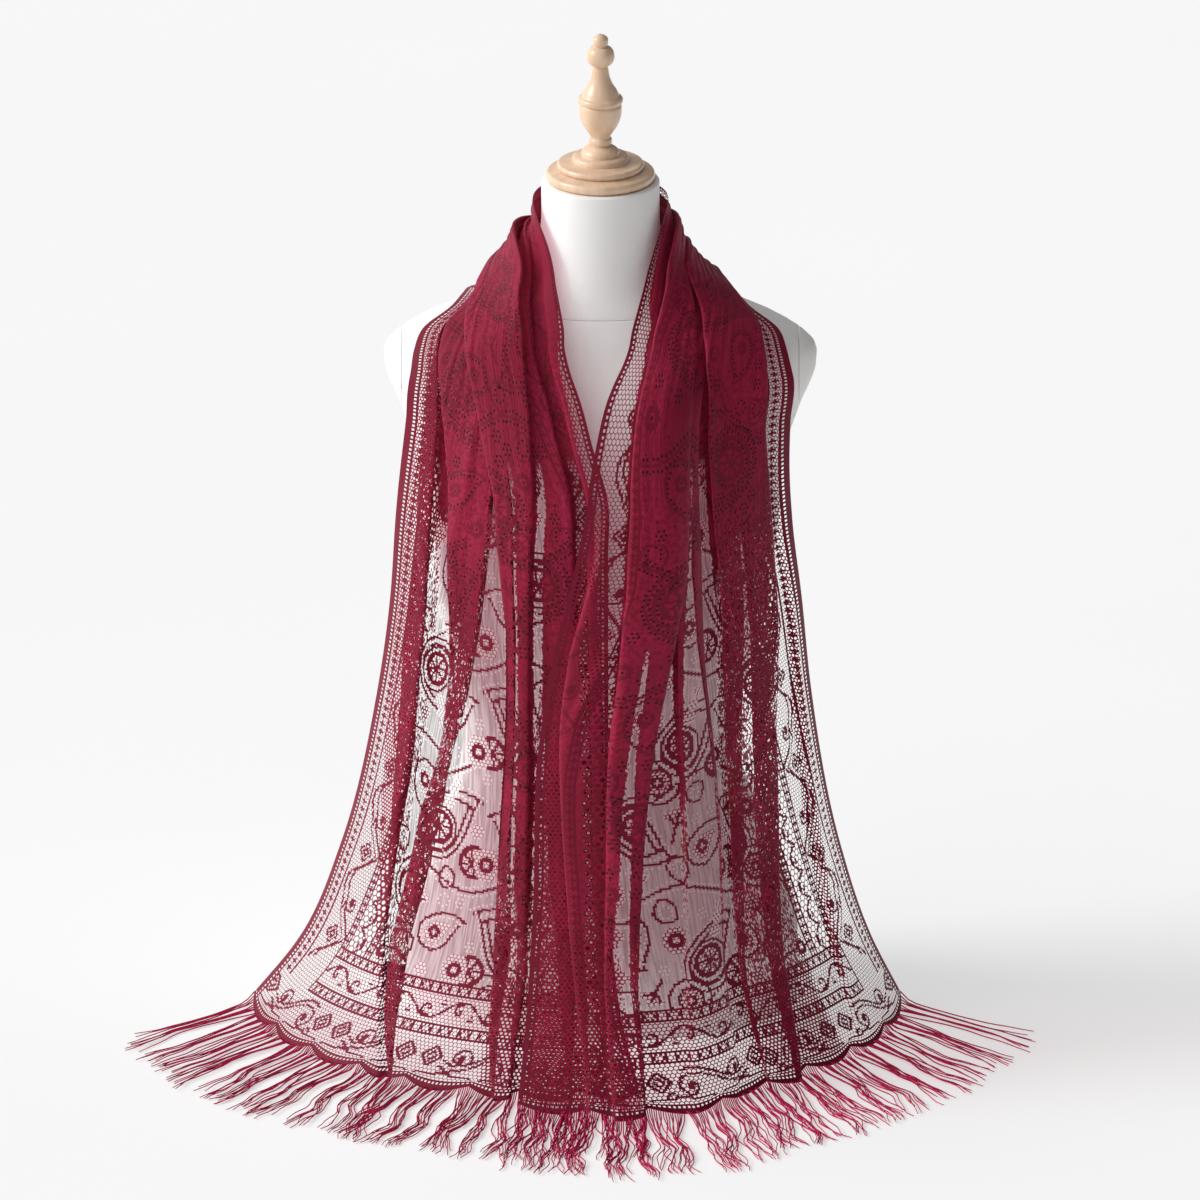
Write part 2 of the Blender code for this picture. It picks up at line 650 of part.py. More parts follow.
def main():
    """Build every piece."""
    for item in list(bpy.data.objects):
        bpy.data.objects.remove(item)
    lace = principled("lace_wine", (0.27, 0.012, 0.055), 0.75)
    thread = principled("fringe_wine", (0.30, 0.014, 0.062), 0.7)
    canvas = principled("form_canvas", (0.84, 0.83, 0.81), 0.85)
    wood = principled("form_wood", (0.76, 0.56, 0.40), 0.4)
    front_stretch("cloth_left", -1, LEFT_WHEELS, lace)
    front_stretch("cloth_right", 1, RIGHT_WHEELS, lace)
    back_stretch("cloth_back", lace)
    fringe("fringe_left", -1, thread)
    fringe("fringe_right", 1, thread)
    build_form(canvas)
    build_wood(wood)


if __name__ == "__main__":
    main()
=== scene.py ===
"""Looks of a lace shawl hung round the neck of a limbless dress form and spread on the table.

The lace is charted in cells, as the machine that knits it works: each cell of a piece is sheer
clothwork, net, a solid thread or an open hole. A hole is a missing face, save where the cloth is
gathered so closely that its own layers lie behind it: there it is kept as a face painted in a dark
shade, which stands in for those layers in shade. Net and clothwork are drawn finer than a cell by
the lace material, whose colour also darkens towards that painted shade where they cover less. The
cloth lies on the same folded sections as the solids that it replaces. Sizes are metres, +Z is up
and the front faces -Y. A side is -1 for the left and 1 for the right, `along` is a distance from
the hem and `places` are distances from the outer edge, both in the flat cloth, and a Span says
where a change begins and ends.
"""
import logging
import math
from dataclasses import dataclass, field
from enum import Enum, IntEnum
from typing import Iterable, Sequence, Union

import bmesh
import bpy
import numpy as np
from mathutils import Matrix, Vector


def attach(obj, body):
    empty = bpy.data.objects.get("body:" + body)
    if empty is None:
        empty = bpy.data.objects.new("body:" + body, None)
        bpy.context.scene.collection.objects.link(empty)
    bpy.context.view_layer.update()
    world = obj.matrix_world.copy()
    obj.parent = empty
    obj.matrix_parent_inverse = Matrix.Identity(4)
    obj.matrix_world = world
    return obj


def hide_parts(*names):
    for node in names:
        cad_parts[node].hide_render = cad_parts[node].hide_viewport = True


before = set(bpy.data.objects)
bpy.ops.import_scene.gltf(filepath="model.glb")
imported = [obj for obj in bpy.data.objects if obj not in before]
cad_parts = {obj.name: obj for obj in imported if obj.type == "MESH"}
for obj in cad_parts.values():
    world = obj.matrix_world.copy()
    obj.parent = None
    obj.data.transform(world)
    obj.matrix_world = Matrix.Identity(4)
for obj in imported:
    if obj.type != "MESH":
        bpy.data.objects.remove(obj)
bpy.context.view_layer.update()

LOG = logging.getLogger("lace_shawl")
BODY = "root"
TURN = 2 * math.pi
SHARP_FROM = math.radians(50)
SIDES = {-1: "left", 1: "right"}

Socket = bpy.types.NodeSocket
Value = Union[float, Sequence[float], Socket]
Inputs = dict[Union[int, str], Value]
Colour = tuple[float, float, float, float]
Span = tuple[float, float]


# ---------------------------------------------------------------- tables of shape
class SmoothTable:
    """Named columns of numbers, read by a smooth curve through the rows."""

    def __init__(self, names: str, *rows: Sequence[float]) -> None:
        """Keep the columns.

        Args:
            names: Names of the columns, parted by spaces; the first is the key.
            rows: The rows, in rising order of the key.
        """
        self.names = names.split()
        self.columns = {name: np.array([row[k] for row in rows], float)
                        for k, name in enumerate(self.names)}
        self.keys = self.columns[self.names[0]]

    def read(self, name: str, at: Union[float, np.ndarray]) -> np.ndarray:
        """Value of a column.

        Args:
            name: The column.
            at: Keys to read it at.

        Returns:
            Its values there, on a cubic through the rows.
        """
        values = self.columns[name]
        slopes = np.gradient(values, self.keys)
        at = np.clip(at, self.keys[0], self.keys[-1])
        low = np.clip(np.searchsorted(self.keys, at) - 1, 0, len(self.keys) - 2)
        span = self.keys[low + 1] - self.keys[low]
        t = (at - self.keys[low]) / span
        rise = values[low + 1] - values[low]
        bend_in = slopes[low] * span - rise
        bend_out = rise - slopes[low + 1] * span
        return values[low] + t * rise + t * (1 - t) * ((1 - t) * bend_in + t * bend_out)

    def rows(self, side: int) -> list[dict[str, float]]:
        """The rows of one side, each as its columns' names and values.

        Args:
            side: The end.

        Returns:
            The rows whose column "side" holds it.
        """
        rows = [{name: values[k] for name, values in self.columns.items()}
                for k in range(len(self.keys))]
        return [row for row in rows if row["side"] == side]


class OvalTable(SmoothTable):
    """Ovals at several heights, which make the form or the surface that the cloth lies on."""

    def point(self, side: int, angle: np.ndarray, height: np.ndarray) -> np.ndarray:
        """Points on the ovals.

        Args:
            side: -1 for the left and 1 for the right.
            angle: Angles round the axis, 0 at the side and a quarter turn at the front.
            height: Heights, as many as angles.

        Returns:
            An array of points.
        """
        half_width = self.read(SIDES[side], height)
        depth = np.where(np.sin(angle) > 0, self.read("front", height), self.read("back", height))
        return np.stack([side * half_width * np.cos(angle), -depth * np.sin(angle), height],
                        axis=-1)


FORM = OvalTable(
    "height left right front back",
    (0.000, 0.168, 0.168, 0.112, 0.118),
    (0.060, 0.170, 0.170, 0.116, 0.124),
    (0.150, 0.142, 0.142, 0.101, 0.104),
    (0.235, 0.116, 0.116, 0.087, 0.086),
    (0.320, 0.131, 0.131, 0.101, 0.094),
    (0.400, 0.147, 0.147, 0.126, 0.101),
    (0.440, 0.152, 0.152, 0.133, 0.104),
    (0.500, 0.157, 0.157, 0.119, 0.108),
    (0.540, 0.170, 0.170, 0.099, 0.106),
    (0.577, 0.183, 0.183, 0.080, 0.100),
    (0.592, 0.181, 0.181, 0.072, 0.095),
    (0.600, 0.172, 0.172, 0.068, 0.092),
    (0.613, 0.149, 0.149, 0.063, 0.087),
    (0.623, 0.123, 0.123, 0.060, 0.083),
    (0.635, 0.095, 0.095, 0.057, 0.075),
    (0.650, 0.070, 0.070, 0.054, 0.065),
    (0.665, 0.057, 0.057, 0.0525, 0.057),
    (0.690, 0.0515, 0.0515, 0.051, 0.0515),
    (0.738, 0.050, 0.050, 0.050, 0.050),
)

DRAPE = OvalTable(
    "height left right front back",
    (0.000, 0.300, 0.259, 0.256, 0.200),
    (0.064, 0.257, 0.231, 0.228, 0.190),
    (0.150, 0.224, 0.207, 0.203, 0.175),
    (0.287, 0.197, 0.186, 0.178, 0.160),
    (0.377, 0.188, 0.180, 0.166, 0.150),
    (0.455, 0.186, 0.178, 0.155, 0.135),
    (0.541, 0.187, 0.184, 0.124, 0.122),
    (0.580, 0.190, 0.190, 0.099, 0.114),
    (0.600, 0.177, 0.177, 0.086, 0.106),
    (0.613, 0.157, 0.157, 0.079, 0.105),
    (0.626, 0.124, 0.124, 0.073, 0.098),
    (0.643, 0.094, 0.094, 0.067, 0.086),
    (0.665, 0.072, 0.072, 0.061, 0.074),
    (0.690, 0.061, 0.061, 0.059, 0.067),
    (0.715, 0.058, 0.058, 0.057, 0.062),
    (0.740, 0.056, 0.056, 0.056, 0.059),
)

STATIONS = SmoothTable(
    "along outer_height inner_height left_outer left_inner right_outer right_inner",
    (0.000, 0.000, 0.000, 1.5, 97, 1.5, 104),
    (0.075, 0.064, 0.064, 6, 94, 5, 104),
    (0.190, 0.167, 0.167, 9.5, 92, 10, 104),
    (0.330, 0.300, 0.300, 15, 92, 15, 104),
    (0.410, 0.377, 0.377, 18, 92, 18, 101),
    (0.490, 0.455, 0.455, 21, 92, 24, 96),
    (0.535, 0.498, 0.498, 24, 92, 27, 93.5),
    (0.580, 0.540, 0.541, 28, 88, 29, 91.5),
    (0.625, 0.576, 0.585, 32, 83.5, 31, 86.5),
    (0.665, 0.598, 0.628, 28, 75, 28, 77),
    (0.700, 0.612, 0.662, 18, 59.5, 18, 60),
    (0.735, 0.624, 0.692, 3, 43, 3, 40),
    (0.775, 0.627, 0.716, -18, 16, -18, 16),
    (0.825, 0.611, 0.722, -50, -36, -50, -36),
    (0.868, 0.5845, 0.7205, -78, -75, -78, -75),
    (0.885, 0.582, 0.720, -90, -90, -90, -90),
)


@dataclass(frozen=True)
class Pleat:
    """A fold that lies over itself: its side, the way it turns, where it lies and how wide it is.

    Places are thousandths of the base line and widths are millimetres, at each of PLEAT_LEVELS.
    """

    side: int
    sense: int
    places: tuple[int, ...]
    widths: tuple[float, ...]


INWARD, OUTWARD, ROLL = -1, 1, 2
PLEAT_LEVELS = (0.0, 0.06, 0.12, 0.18, 0.24, 0.30, 0.36, 0.42, 0.48, 0.54, 0.60, 0.66, 0.74, 0.885)
ROLL_SHARE = 0.26              # of its width, from the middle of a roll to each of its two folds
PLEATS = (
    Pleat(-1, INWARD,
          (500, 424, 349, 299, 242, 206, 174, 155, 150, 145, 150, 155, 160, 160),
          (7.0, 8.2, 11.7, 24.0, 36.0, 50.0, 54.0, 54.0, 46.0, 36.0, 24.0, 12.0, 3.0, 3.0)),
    Pleat(-1, OUTWARD,
          (520, 450, 404, 408, 411, 420, 430, 430, 420, 395, 350, 310, 280, 280),
          (14.0, 22.5, 25.3, 22.5, 20.9, 18.2, 26.0, 36.0, 46.0, 52.0, 50.0, 42.0, 26.0, 26.0)),
    Pleat(-1, ROLL,
          (745, 739, 745, 734, 718, 705, 688, 671, 650, 615, 590, 570, 550, 550),
          (28.0, 34.0, 36.6, 35.4, 33.6, 30.8, 28.0, 28.0, 32.0, 40.0, 50.0, 56.0, 60.0, 60.0)),
    Pleat(-1, INWARD,
          (868, 876, 878, 873, 865, 851, 834, 822, 812, 800, 790, 790, 790, 790),
          (18.0, 22.5, 26.2, 30.6, 33.0, 36.3, 38.1, 36.6, 33.6, 28.0, 18.0, 8.0, 3.0, 3.0)),
    Pleat(-1, OUTWARD,
          (940, 956, 966, 970, 970, 964, 954, 944, 930, 917, 900, 890, 880, 880),
          (9.0, 11.0, 13.0, 15.0, 16.0, 16.0, 15.0, 13.0, 10.0, 8.0, 4.0, 2.0, 0.5, 0.5)),
    Pleat(1, INWARD,
          (299, 239, 201, 159, 125, 105, 88, 75, 75, 80, 80, 80, 80, 80),
          (4.0, 8.0, 12.0, 14.0, 12.0, 8.0, 6.0, 4.0, 3.0, 3.0, 2.0, 1.0, 0.5, 0.5)),
    Pleat(1, ROLL,
          (511, 490, 471, 440, 401, 376, 351, 331, 320, 320, 340, 370, 420, 420),
          (60.0, 68.6, 68.6, 66.8, 67.3, 70.0, 70.0, 66.0, 60.0, 56.0, 54.0, 54.0, 56.0, 56.0)),
    Pleat(1, OUTWARD,
          (618, 591, 578, 555, 535, 529, 540, 556, 566, 560, 550, 530, 500, 500),
          (6.0, 7.4, 8.6, 8.1, 7.4, 6.4, 6.6, 8.9, 10.5, 7.0, 3.0, 1.0, 0.5, 0.5)),
    Pleat(1, INWARD,
          (716, 698, 684, 666, 650, 635, 640, 645, 650, 650, 640, 620, 600, 600),
          (5.0, 5.0, 5.4, 5.4, 5.5, 5.5, 6.5, 8.5, 10.5, 7.0, 3.0, 1.0, 0.5, 0.5)),
    Pleat(1, ROLL,
          (816, 814, 815, 806, 790, 771, 755, 740, 725, 720, 725, 740, 770, 770),
          (44.0, 40.0, 36.0, 34.0, 34.0, 36.0, 38.0, 42.0, 44.0, 44.0, 44.0, 38.0, 24.0, 24.0)),
    Pleat(1, INWARD,
          (883, 886, 895, 902, 906, 910, 925, 943, 940, 930, 920, 920, 920, 920),
          (18.0, 22.0, 25.0, 26.1, 26.2, 24.9, 20.0, 9.0, 3.0, 1.0, 0.5, 0.5, 0.5, 0.5)),
)

# Bands of doubled cloth: shares of the base line near the hem and higher up, how closely they are
# packed, and how far up they reach.
DOUBLED = SmoothTable(
    "number side low high low_top high_top closeness end",
    (0, 1, 0.33, 0.53, 0.22, 0.44, 0.69, 0.62),
    (1, 1, 0.80, 1.02, 0.86, 1.02, 0.69, 0.42),
    (2, -1, 0.70, 1.02, 0.78, 1.02, 0.69, 0.50),
    (3, 1, 0.55, 0.80, 0.50, 0.72, 0.20, 0.56),
)

# Soft creases: place across, where they start and end along the cloth, depth, half width, and how
# far they lean outward for each metre along.
CREASES = SmoothTable(
    "number side across from_along to_along depth half_width lean",
    (0, -1, 0.078, 0.16, 0.56, 0.0030, 0.010, 0.03),
    (1, -1, 0.108, 0.30, 0.66, -0.0026, 0.008, -0.02),
    (2, -1, 0.205, 0.05, 0.34, 0.0034, 0.012, -0.04),
    (3, -1, 0.232, 0.36, 0.64, 0.0024, 0.007, 0.02),
    (4, -1, 0.296, 0.08, 0.50, -0.0030, 0.010, 0.04),
    (5, -1, 0.352, 0.28, 0.60, 0.0022, 0.007, 0.00),
    (6, -1, 0.412, 0.10, 0.38, 0.0024, 0.008, 0.02),
    (7, 1, 0.070, 0.22, 0.60, 0.0028, 0.010, -0.02),
    (8, 1, 0.122, 0.06, 0.36, -0.0028, 0.010, 0.04),
    (9, 1, 0.190, 0.34, 0.64, 0.0026, 0.008, 0.01),
    (10, 1, 0.262, 0.04, 0.42, 0.0036, 0.012, 0.03),
    (11, 1, 0.318, 0.24, 0.58, -0.0024, 0.008, -0.03),
    (12, 1, 0.384, 0.12, 0.46, 0.0022, 0.007, 0.01),
    (13, 1, 0.446, 0.30, 0.62, 0.0020, 0.006, -0.02),
    (14, -1, 0.160, 0.72, 0.88, 0.0016, 0.010, 0.00),
    (15, 1, 0.330, 0.73, 0.87, 0.0016, 0.010, 0.02),
)


@dataclass(frozen=True)
class Bunching:
    """How one end bunches under its gathers: shares, and distances from its edges.

    Over `inner` from the inner edge and `outer` from the outer one the bunching sets in. Near the
    outer edge it is only `speckle`, and `single` is how far the gathers there lose their layers.
    """

    inner: Span
    outer: Span
    speckle: float
    single: float


BUNCHING = {-1: Bunching((0.003, 0.022), (0.06, 0.13), 0.58, 0.40),
            1: Bunching((0.055, 0.090), (0.07, 0.14), 0.30, 0.70)}


def ease(value: Union[float, np.ndarray], start: float, end: float) -> np.ndarray:
    """0 before start, 1 after end, smooth between."""
    t = np.clip((value - start) / (end - start), 0, 1)
    return t * t * (3 - 2 * t)


def lengths(points: np.ndarray) -> np.ndarray:
    """Distance run at each point of a line."""
    return np.concatenate([[0.0], np.cumsum(np.linalg.norm(np.diff(points, axis=0), axis=1))])


# ---------------------------------------------------------------- the folded cloth
@dataclass
class DrapedCloth:
    """The shape in which the cloth hangs: folded sections laid round the form."""

    width: float = 0.500
    half_length: float = 0.885
    overlap_lift: float = 0.033
    overlap_turns: Span = (56, 76)
    overlap_heights: Span = (0.56, 0.62)
    form_clearance: float = 0.0048
    scallops: int = 8
    scallop_depth: float = 0.008
    scallop_reach: float = 0.016
    pleat_turn: float = 3.0
    pleat_sharpens: Span = (0.45, 0.62)
    pleat_crease: float = 0.0026
    neck_crease: float = 0.0018
    fine_gather: float = 0.40
    gathers: Span = (0.48, 0.72)
    bunched_along: Span = (0.50, 0.60)
    bunched_sooner: float = 0.07
    sooner_across: Span = (0.10, 0.26)
    speckle_across: Span = (0.05, 0.08)
    neck_narrows: float = 0.85
    neck_along: Span = (0.60, 0.70)
    packed: Span = (1.2, 2.4)
    packing_bin: float = 0.0022
    backed_outer: float = 0.44
    backed_inner: float = 0.10
    layered: float = 0.6
    layer_reach: float = 0.16
    layers_across: Span = (0.20, 0.34)
    shoulder_across: Span = (0.05, 0.13)
    shoulder_from: Span = (0.46, 0.54)
    shoulder_to: Span = (0.68, 0.78)
    band_from: float = 0.05
    band_rise: float = 0.45
    band_edge: float = 0.012
    band_fade: float = 0.04
    joined_from: float = 0.775
    base_steps: int = 240
    fine_steps: int = 1000
    halvings: int = 32
    clearing_halvings: int = 18
    clearing_reach: float = 0.06
    ripple_pitch: float = 0.0135
    ripple_height: float = 0.0026
    ripple_clearance: float = 0.0018
    ripple_least: float = 0.00025
    ripple_grows: Span = (0.74, 0.84)
    ripple_edge: float = 0.03

    def pleat_direction(self, side: int, along: float, flat: np.ndarray,
                        length: float) -> np.ndarray:
        """Direction in which the cloth runs through its pleats.

        Args:
            side: The end.
            along: Distance from the hem.
            flat: Distances from the outer edge.
            length: Length of the base line.

        Returns:
            Angles from the base line, outward positive, which gather the cloth into the length.
        """
        sharper = (self.neck_crease - self.pleat_crease) * float(ease(along, *self.pleat_sharpens))
        crease = self.pleat_crease + sharper
        folds = []
        for pleat in (pleat for pleat in PLEATS if pleat.side == side):
            middle = float(np.interp(along, PLEAT_LEVELS, np.divide(pleat.places, 1000))) * length
            width = float(np.interp(along, PLEAT_LEVELS, pleat.widths)) / 1000
            if pleat.sense == ROLL:
                folds += [(middle - width * ROLL_SHARE, width / 2, OUTWARD),
                          (middle + width * ROLL_SHARE, width / 2, INWARD)]
            else:
                folds.append((middle, width, pleat.sense))
        centres, widths, senses = np.array(folds).T
        near = np.linspace(-0.06, 0.06, 241)
        low, high = 0.0, 6.0
        for _ in range(self.halvings):
            scale = (low + high) / 2
            half = widths[:, None] * scale / 2
            used = np.sum(1 - np.cos(self.pleat_turn * self.turned(near, half, crease)), axis=1)
            used = used * (near[1] - near[0])
            at = centres + np.cumsum(used) - used / 2
            shape = self.turned(flat - at[:, None], half, crease)
            direction = np.sum(senses[:, None] * self.pleat_turn * shape, axis=0)
            direction = np.clip(direction, -self.pleat_turn, self.pleat_turn)
            if self.reach(direction, flat) > length:
                low = scale
            else:
                high = scale
        return direction

    @staticmethod
    def turned(gap: np.ndarray, half: np.ndarray, crease: float) -> np.ndarray:
        """1 nearer to a fold's middle than half its width, and 0 farther away, over a crease."""
        return 0.5 * (np.tanh((gap + half) / crease) - np.tanh((gap - half) / crease))

    @staticmethod
    def reach(direction: np.ndarray, flat: np.ndarray) -> float:
        """How far cloth runs along the base line."""
        return float(np.sum(np.cos((direction[1:] + direction[:-1]) / 2) * np.diff(flat)))

    def folded(self, side: int, along: float, flat: np.ndarray,
               length: float) -> tuple[np.ndarray, np.ndarray]:
        """Gather a width of cloth into a length.

        Args:
            side: The end.
            along: Distance from the hem.
            flat: Distances from the outer edge.
            length: Length of the base line.

        Returns:
            Distances run along the base line, and away from it.
        """
        direction = self.pleat_direction(side, along, flat, length)
        low, high = 0.0, 1.6
        for _ in range(self.halvings):
            scale = (low + high) / 2
            if self.reach(direction * scale, flat) > length:
                low = scale
            else:
                high = scale
        middle = low * (direction[1:] + direction[:-1]) / 2
        step = np.diff(flat)
        forward = np.concatenate([[0.0], np.cumsum(np.cos(middle) * step)])
        outward = np.concatenate([[0.0], np.cumsum(np.sin(middle) * step)])
        outward -= outward[-1] * forward / forward[-1]
        return forward, outward

    def normals(self, side: int, angle: np.ndarray, height: np.ndarray) -> np.ndarray:
        """Outward directions of the draped surface, level where the cloth hangs free.

        Args:
            side: The end.
            angle: Angles round the axis.
            height: Heights, as many as angles.

        Returns:
            As many directions.
        """
        turn, step = 0.01, 0.001
        across = DRAPE.point(side, angle + turn, height) - DRAPE.point(side, angle - turn, height)
        upward = DRAPE.point(side, angle, height + step) - DRAPE.point(side, angle, height - step)
        normal = -side * np.cross(across, upward)
        normal[:, 2] *= ease(height, 0.52, 0.60)
        return normal / np.linalg.norm(normal, axis=1, keepdims=True)

    @staticmethod
    def clear_of_form(points: np.ndarray, clearance: float) -> np.ndarray:
        """Where points are outside the dress form.

        Args:
            points: The points.
            clearance: How far outside they have to be.

        Returns:
            True for each point that is.
        """
        height = points[..., 2]
        half_width = FORM.read("left", height) + clearance
        depth = np.where(points[..., 1] < 0, FORM.read("front", height), FORM.read("back", height))
        reach = (points[..., 0] / half_width) ** 2 + (points[..., 1] / (depth + clearance)) ** 2
        return reach >= 1

    def lifted(self, start: np.ndarray, normal: np.ndarray, away: np.ndarray) -> np.ndarray:
        """Lift the cloth off the form.

        Args:
            start: Points of the base line.
            normal: Outward directions there.
            away: How far the cloth lies from the base line.

        Returns:
            The same distances, or as much more as keeps clear of the form.
        """
        low, high = away.copy(), away + self.clearing_reach
        for _ in range(self.clearing_halvings):
            middle = (low + high) / 2
            clear = self.clear_of_form(start + normal * middle[:, None], self.form_clearance)
            high, low = np.where(clear, middle, high), np.where(clear, low, middle)
        clear = self.clear_of_form(start + normal * away[:, None], self.form_clearance)
        return np.where(clear, away, high)

    def section(self, side: int, along: float,
                places: np.ndarray) -> tuple[np.ndarray, np.ndarray]:
        """One section across the cloth.

        Args:
            side: The end.
            along: Distance from the hem.
            places: Distances from the outer edge.

        Returns:
            A point for each place, and how closely the cloth is packed there, from 0 to 1.
        """
        outer_angle = math.radians(STATIONS.read(SIDES[side] + "_outer", along))
        inner_angle = math.radians(STATIONS.read(SIDES[side] + "_inner", along))
        outer_height = STATIONS.read("outer_height", along)
        inner_height = STATIONS.read("inner_height", along)
        base_share = np.linspace(0, 1, self.base_steps + 1)
        base = DRAPE.point(side, outer_angle + (inner_angle - outer_angle) * base_share,
                           outer_height + (inner_height - outer_height) * base_share)
        run = lengths(base)

        across = np.linspace(0, self.width, self.fine_steps + 1)
        gather = self.fine_gather * float(ease(along, *self.gathers))
        forward, outward = self.folded(side, along, across * (1 - gather), run[-1])
        reached = np.interp(places, across, forward)
        bins = np.linspace(-0.004, run[-1] + 0.004, max(12, int(run[-1] / self.packing_bin)))
        packed, _ = np.histogram((forward[1:] + forward[:-1]) / 2, bins, weights=np.diff(across))
        packed = np.convolve(packed / np.diff(bins), (0.25, 0.5, 0.25), "same")
        pleated = ease(np.interp(reached, (bins[1:] + bins[:-1]) / 2, packed), *self.packed)
        closeness = np.maximum(pleated * self.layers(side, along, places),
                               self.bunched(side, along, places))
        closeness = np.maximum(closeness, self.doubled(side, along, reached / run[-1]))

        at = np.interp(reached, run, base_share)
        angle = outer_angle + (inner_angle - outer_angle) * at
        height = outer_height + (inner_height - outer_height) * at
        away = np.interp(places, across, outward)
        if side > 0:
            away = away + self.overlap_lift * (ease(np.degrees(angle), *self.overlap_turns)
                                               * (1 - ease(height, *self.overlap_heights)))
        start = DRAPE.point(side, angle, height)
        normal = self.normals(side, angle, height)
        return start + normal * self.lifted(start, normal, away)[:, None], closeness

    def joined(self, side: int, along: float, places: np.ndarray) -> tuple[np.ndarray, np.ndarray]:
        """One section, drawn towards the mirrored other half as it nears the middle of the back.

        Args:
            side: The end.
            along: Distance from the hem.
            places: Distances from the outer edge.

        Returns:
            A point for each place, and how closely the cloth is packed there.
        """
        points, closeness = self.section(side, along, places)
        share = 0.5 * float(ease(along, self.joined_from, self.half_length))
        if share > 0:
            other, other_closeness = self.section(-side, along, places)
            points = points + share * (other * [-1, 1, 1] - points)
            closeness = closeness + share * (other_closeness - closeness)
        return points, closeness

    def layers(self, side: int, along: float, places: np.ndarray) -> np.ndarray:
        """How far the layers of a gather hide what is behind them.

        Args:
            side: The end.
            along: Distance from the hem.
            places: Distances from the outer edge.

        Returns:
            Shares from 0 to 1, more towards the neck and less over the outer edge of the shoulder.
        """
        inward = ease(places, *self.layers_across)
        begins = self.backed_outer + (self.backed_inner - self.backed_outer) * inward
        layers = self.layered + (1 - self.layered) * ease(along - begins, 0.0, self.layer_reach)
        single = ((1 - ease(places, *self.shoulder_across)) * ease(along, *self.shoulder_from)
                  * (1 - ease(along, *self.shoulder_to)))
        return layers * (1 - single * BUNCHING[side].single)

    def doubled(self, side: int, along: float, share: np.ndarray) -> np.ndarray:
        """How closely the broad bands of doubled cloth cover what is behind them.

        Args:
            side: The end.
            along: Distance from the hem.
            share: Places on the base line, from 0 at the outer edge to 1.

        Returns:
            Closeness from 0 to 1.
        """
        closest = np.zeros_like(share)
        edge, fade = self.band_edge, self.band_fade
        rise = min(max((along - self.band_from) / self.band_rise, 0.0), 1.0)
        for band in DOUBLED.rows(side):
            low = band["low"] + (band["low_top"] - band["low"]) * rise
            high = band["high"] + (band["high_top"] - band["high"]) * rise
            inside = (ease(share, low - edge, low + edge)
                      * (1 - ease(share, high - edge, high + edge)))
            fades = 1 - float(ease(along, band["end"] - fade, band["end"] + fade))
            closest = np.maximum(closest, band["closeness"] * inside * fades)
        return closest

    def bunched(self, side: int, along: float, places: np.ndarray) -> np.ndarray:
        """How far the cloth is bunched under the gathers, where its own layers back it.

        Args:
            side: The end.
            along: Distance from the hem.
            places: Distances from the outer edge.

        Returns:
            Shares from 0 to 1.
        """
        half = BUNCHING[side]
        sooner = self.bunched_sooner * (1 - ease(places, *self.sooner_across))
        closing = 1 - self.neck_narrows * float(ease(along, *self.neck_along))
        over = np.maximum(ease(places, *half.outer),
                          half.speckle * ease(places, *self.speckle_across))
        return (ease(along + sooner, *self.bunched_along) * over
                * ease(self.width - places, half.inner[0] * closing, half.inner[1] * closing))

    def scalloped(self, grid: np.ndarray, pitch: float) -> np.ndarray:
        """Lift the hem between its scallops.

        Args:
            grid: Rows of points from the hem upward.
            pitch: Distance between the rows, along the cloth.

        Returns:
            The grid with its lowest rows raised.
        """
        shaped = grid.copy()
        columns = np.arange(grid.shape[1])
        turn = columns / (grid.shape[1] - 1) * self.scallops
        lift = self.scallop_depth * (1 - np.abs(np.sin(math.pi * turn)))
        for row in range(int(self.scallop_reach / pitch) + 1):
            along = row * pitch
            at = (along + lift * (1 - along / self.scallop_reach)) / pitch
            low = np.floor(at).astype(int)
            part = (at - low)[:, None]
            shaped[row] = (1 - part) * grid[low, columns] + part * grid[low + 1, columns]
        return shaped

    def gathered(self, side: int, grid: np.ndarray, along: np.ndarray,
                 across: np.ndarray) -> np.ndarray:
        """Add the fine gathers at the neck and the soft creases.

        Args:
            side: The end.
            grid: Rows of points.
            along: Distance from the hem of each row.
            across: Distance from the outer edge of each column.

        Returns:
            The grid, moved along its own normals.
        """
        normal = np.cross(np.gradient(grid, axis=1), np.gradient(grid, axis=0)) * side
        normal /= np.maximum(np.linalg.norm(normal, axis=2, keepdims=True), 1e-12)
        v, u = along[:, None], across[None, :]
        drift = 0.22 * np.sin(TURN * v / 0.34 + 9 * u) + 0.10 * np.sin(TURN * v / 0.13 + 23 * u)
        ripple = np.sin(TURN * (u / self.ripple_pitch + drift))
        ripple += 0.5 * np.sin(TURN * (u / (0.62 * self.ripple_pitch) - drift) + 1.3)
        uneven = 0.65 + 0.35 * np.sin(TURN * u / 0.083 + 2.1) * np.sin(TURN * v / 0.41 + 0.4)
        edge = ease(u, 0.0, self.ripple_edge) * ease(self.width - u, 0.0, self.ripple_edge)
        grown = ease(v, *self.ripple_grows)
        height = self.ripple_least + (self.ripple_height - self.ripple_least) * grown
        push = ripple * uneven * height * edge * ease(v, 0.0, 0.05)
        for crease in CREASES.rows(side):
            centre = crease["across"] + crease["lean"] * (v - crease["from_along"])
            window = (ease(v, crease["from_along"], crease["from_along"] + 0.08)
                      * (1 - ease(v, crease["to_along"] - 0.10, crease["to_along"])))
            hollow = np.exp(-((u - centre) / crease["half_width"]) ** 2)
            push = push - crease["depth"] * window * hollow
        for _ in range(3):
            clear = self.clear_of_form(grid + normal * push[..., None], self.ripple_clearance)
            push = np.where(clear, push, 0.5 * push)
        return grid + normal * push[..., None]


# ---------------------------------------------------------------- the lace chart
class Cell(IntEnum):
    """What one cell of the lace is."""

    SHEER = 0
    NET = 1
    SOLID = 2
    HOLE = 3
    WIDE_NET = 4


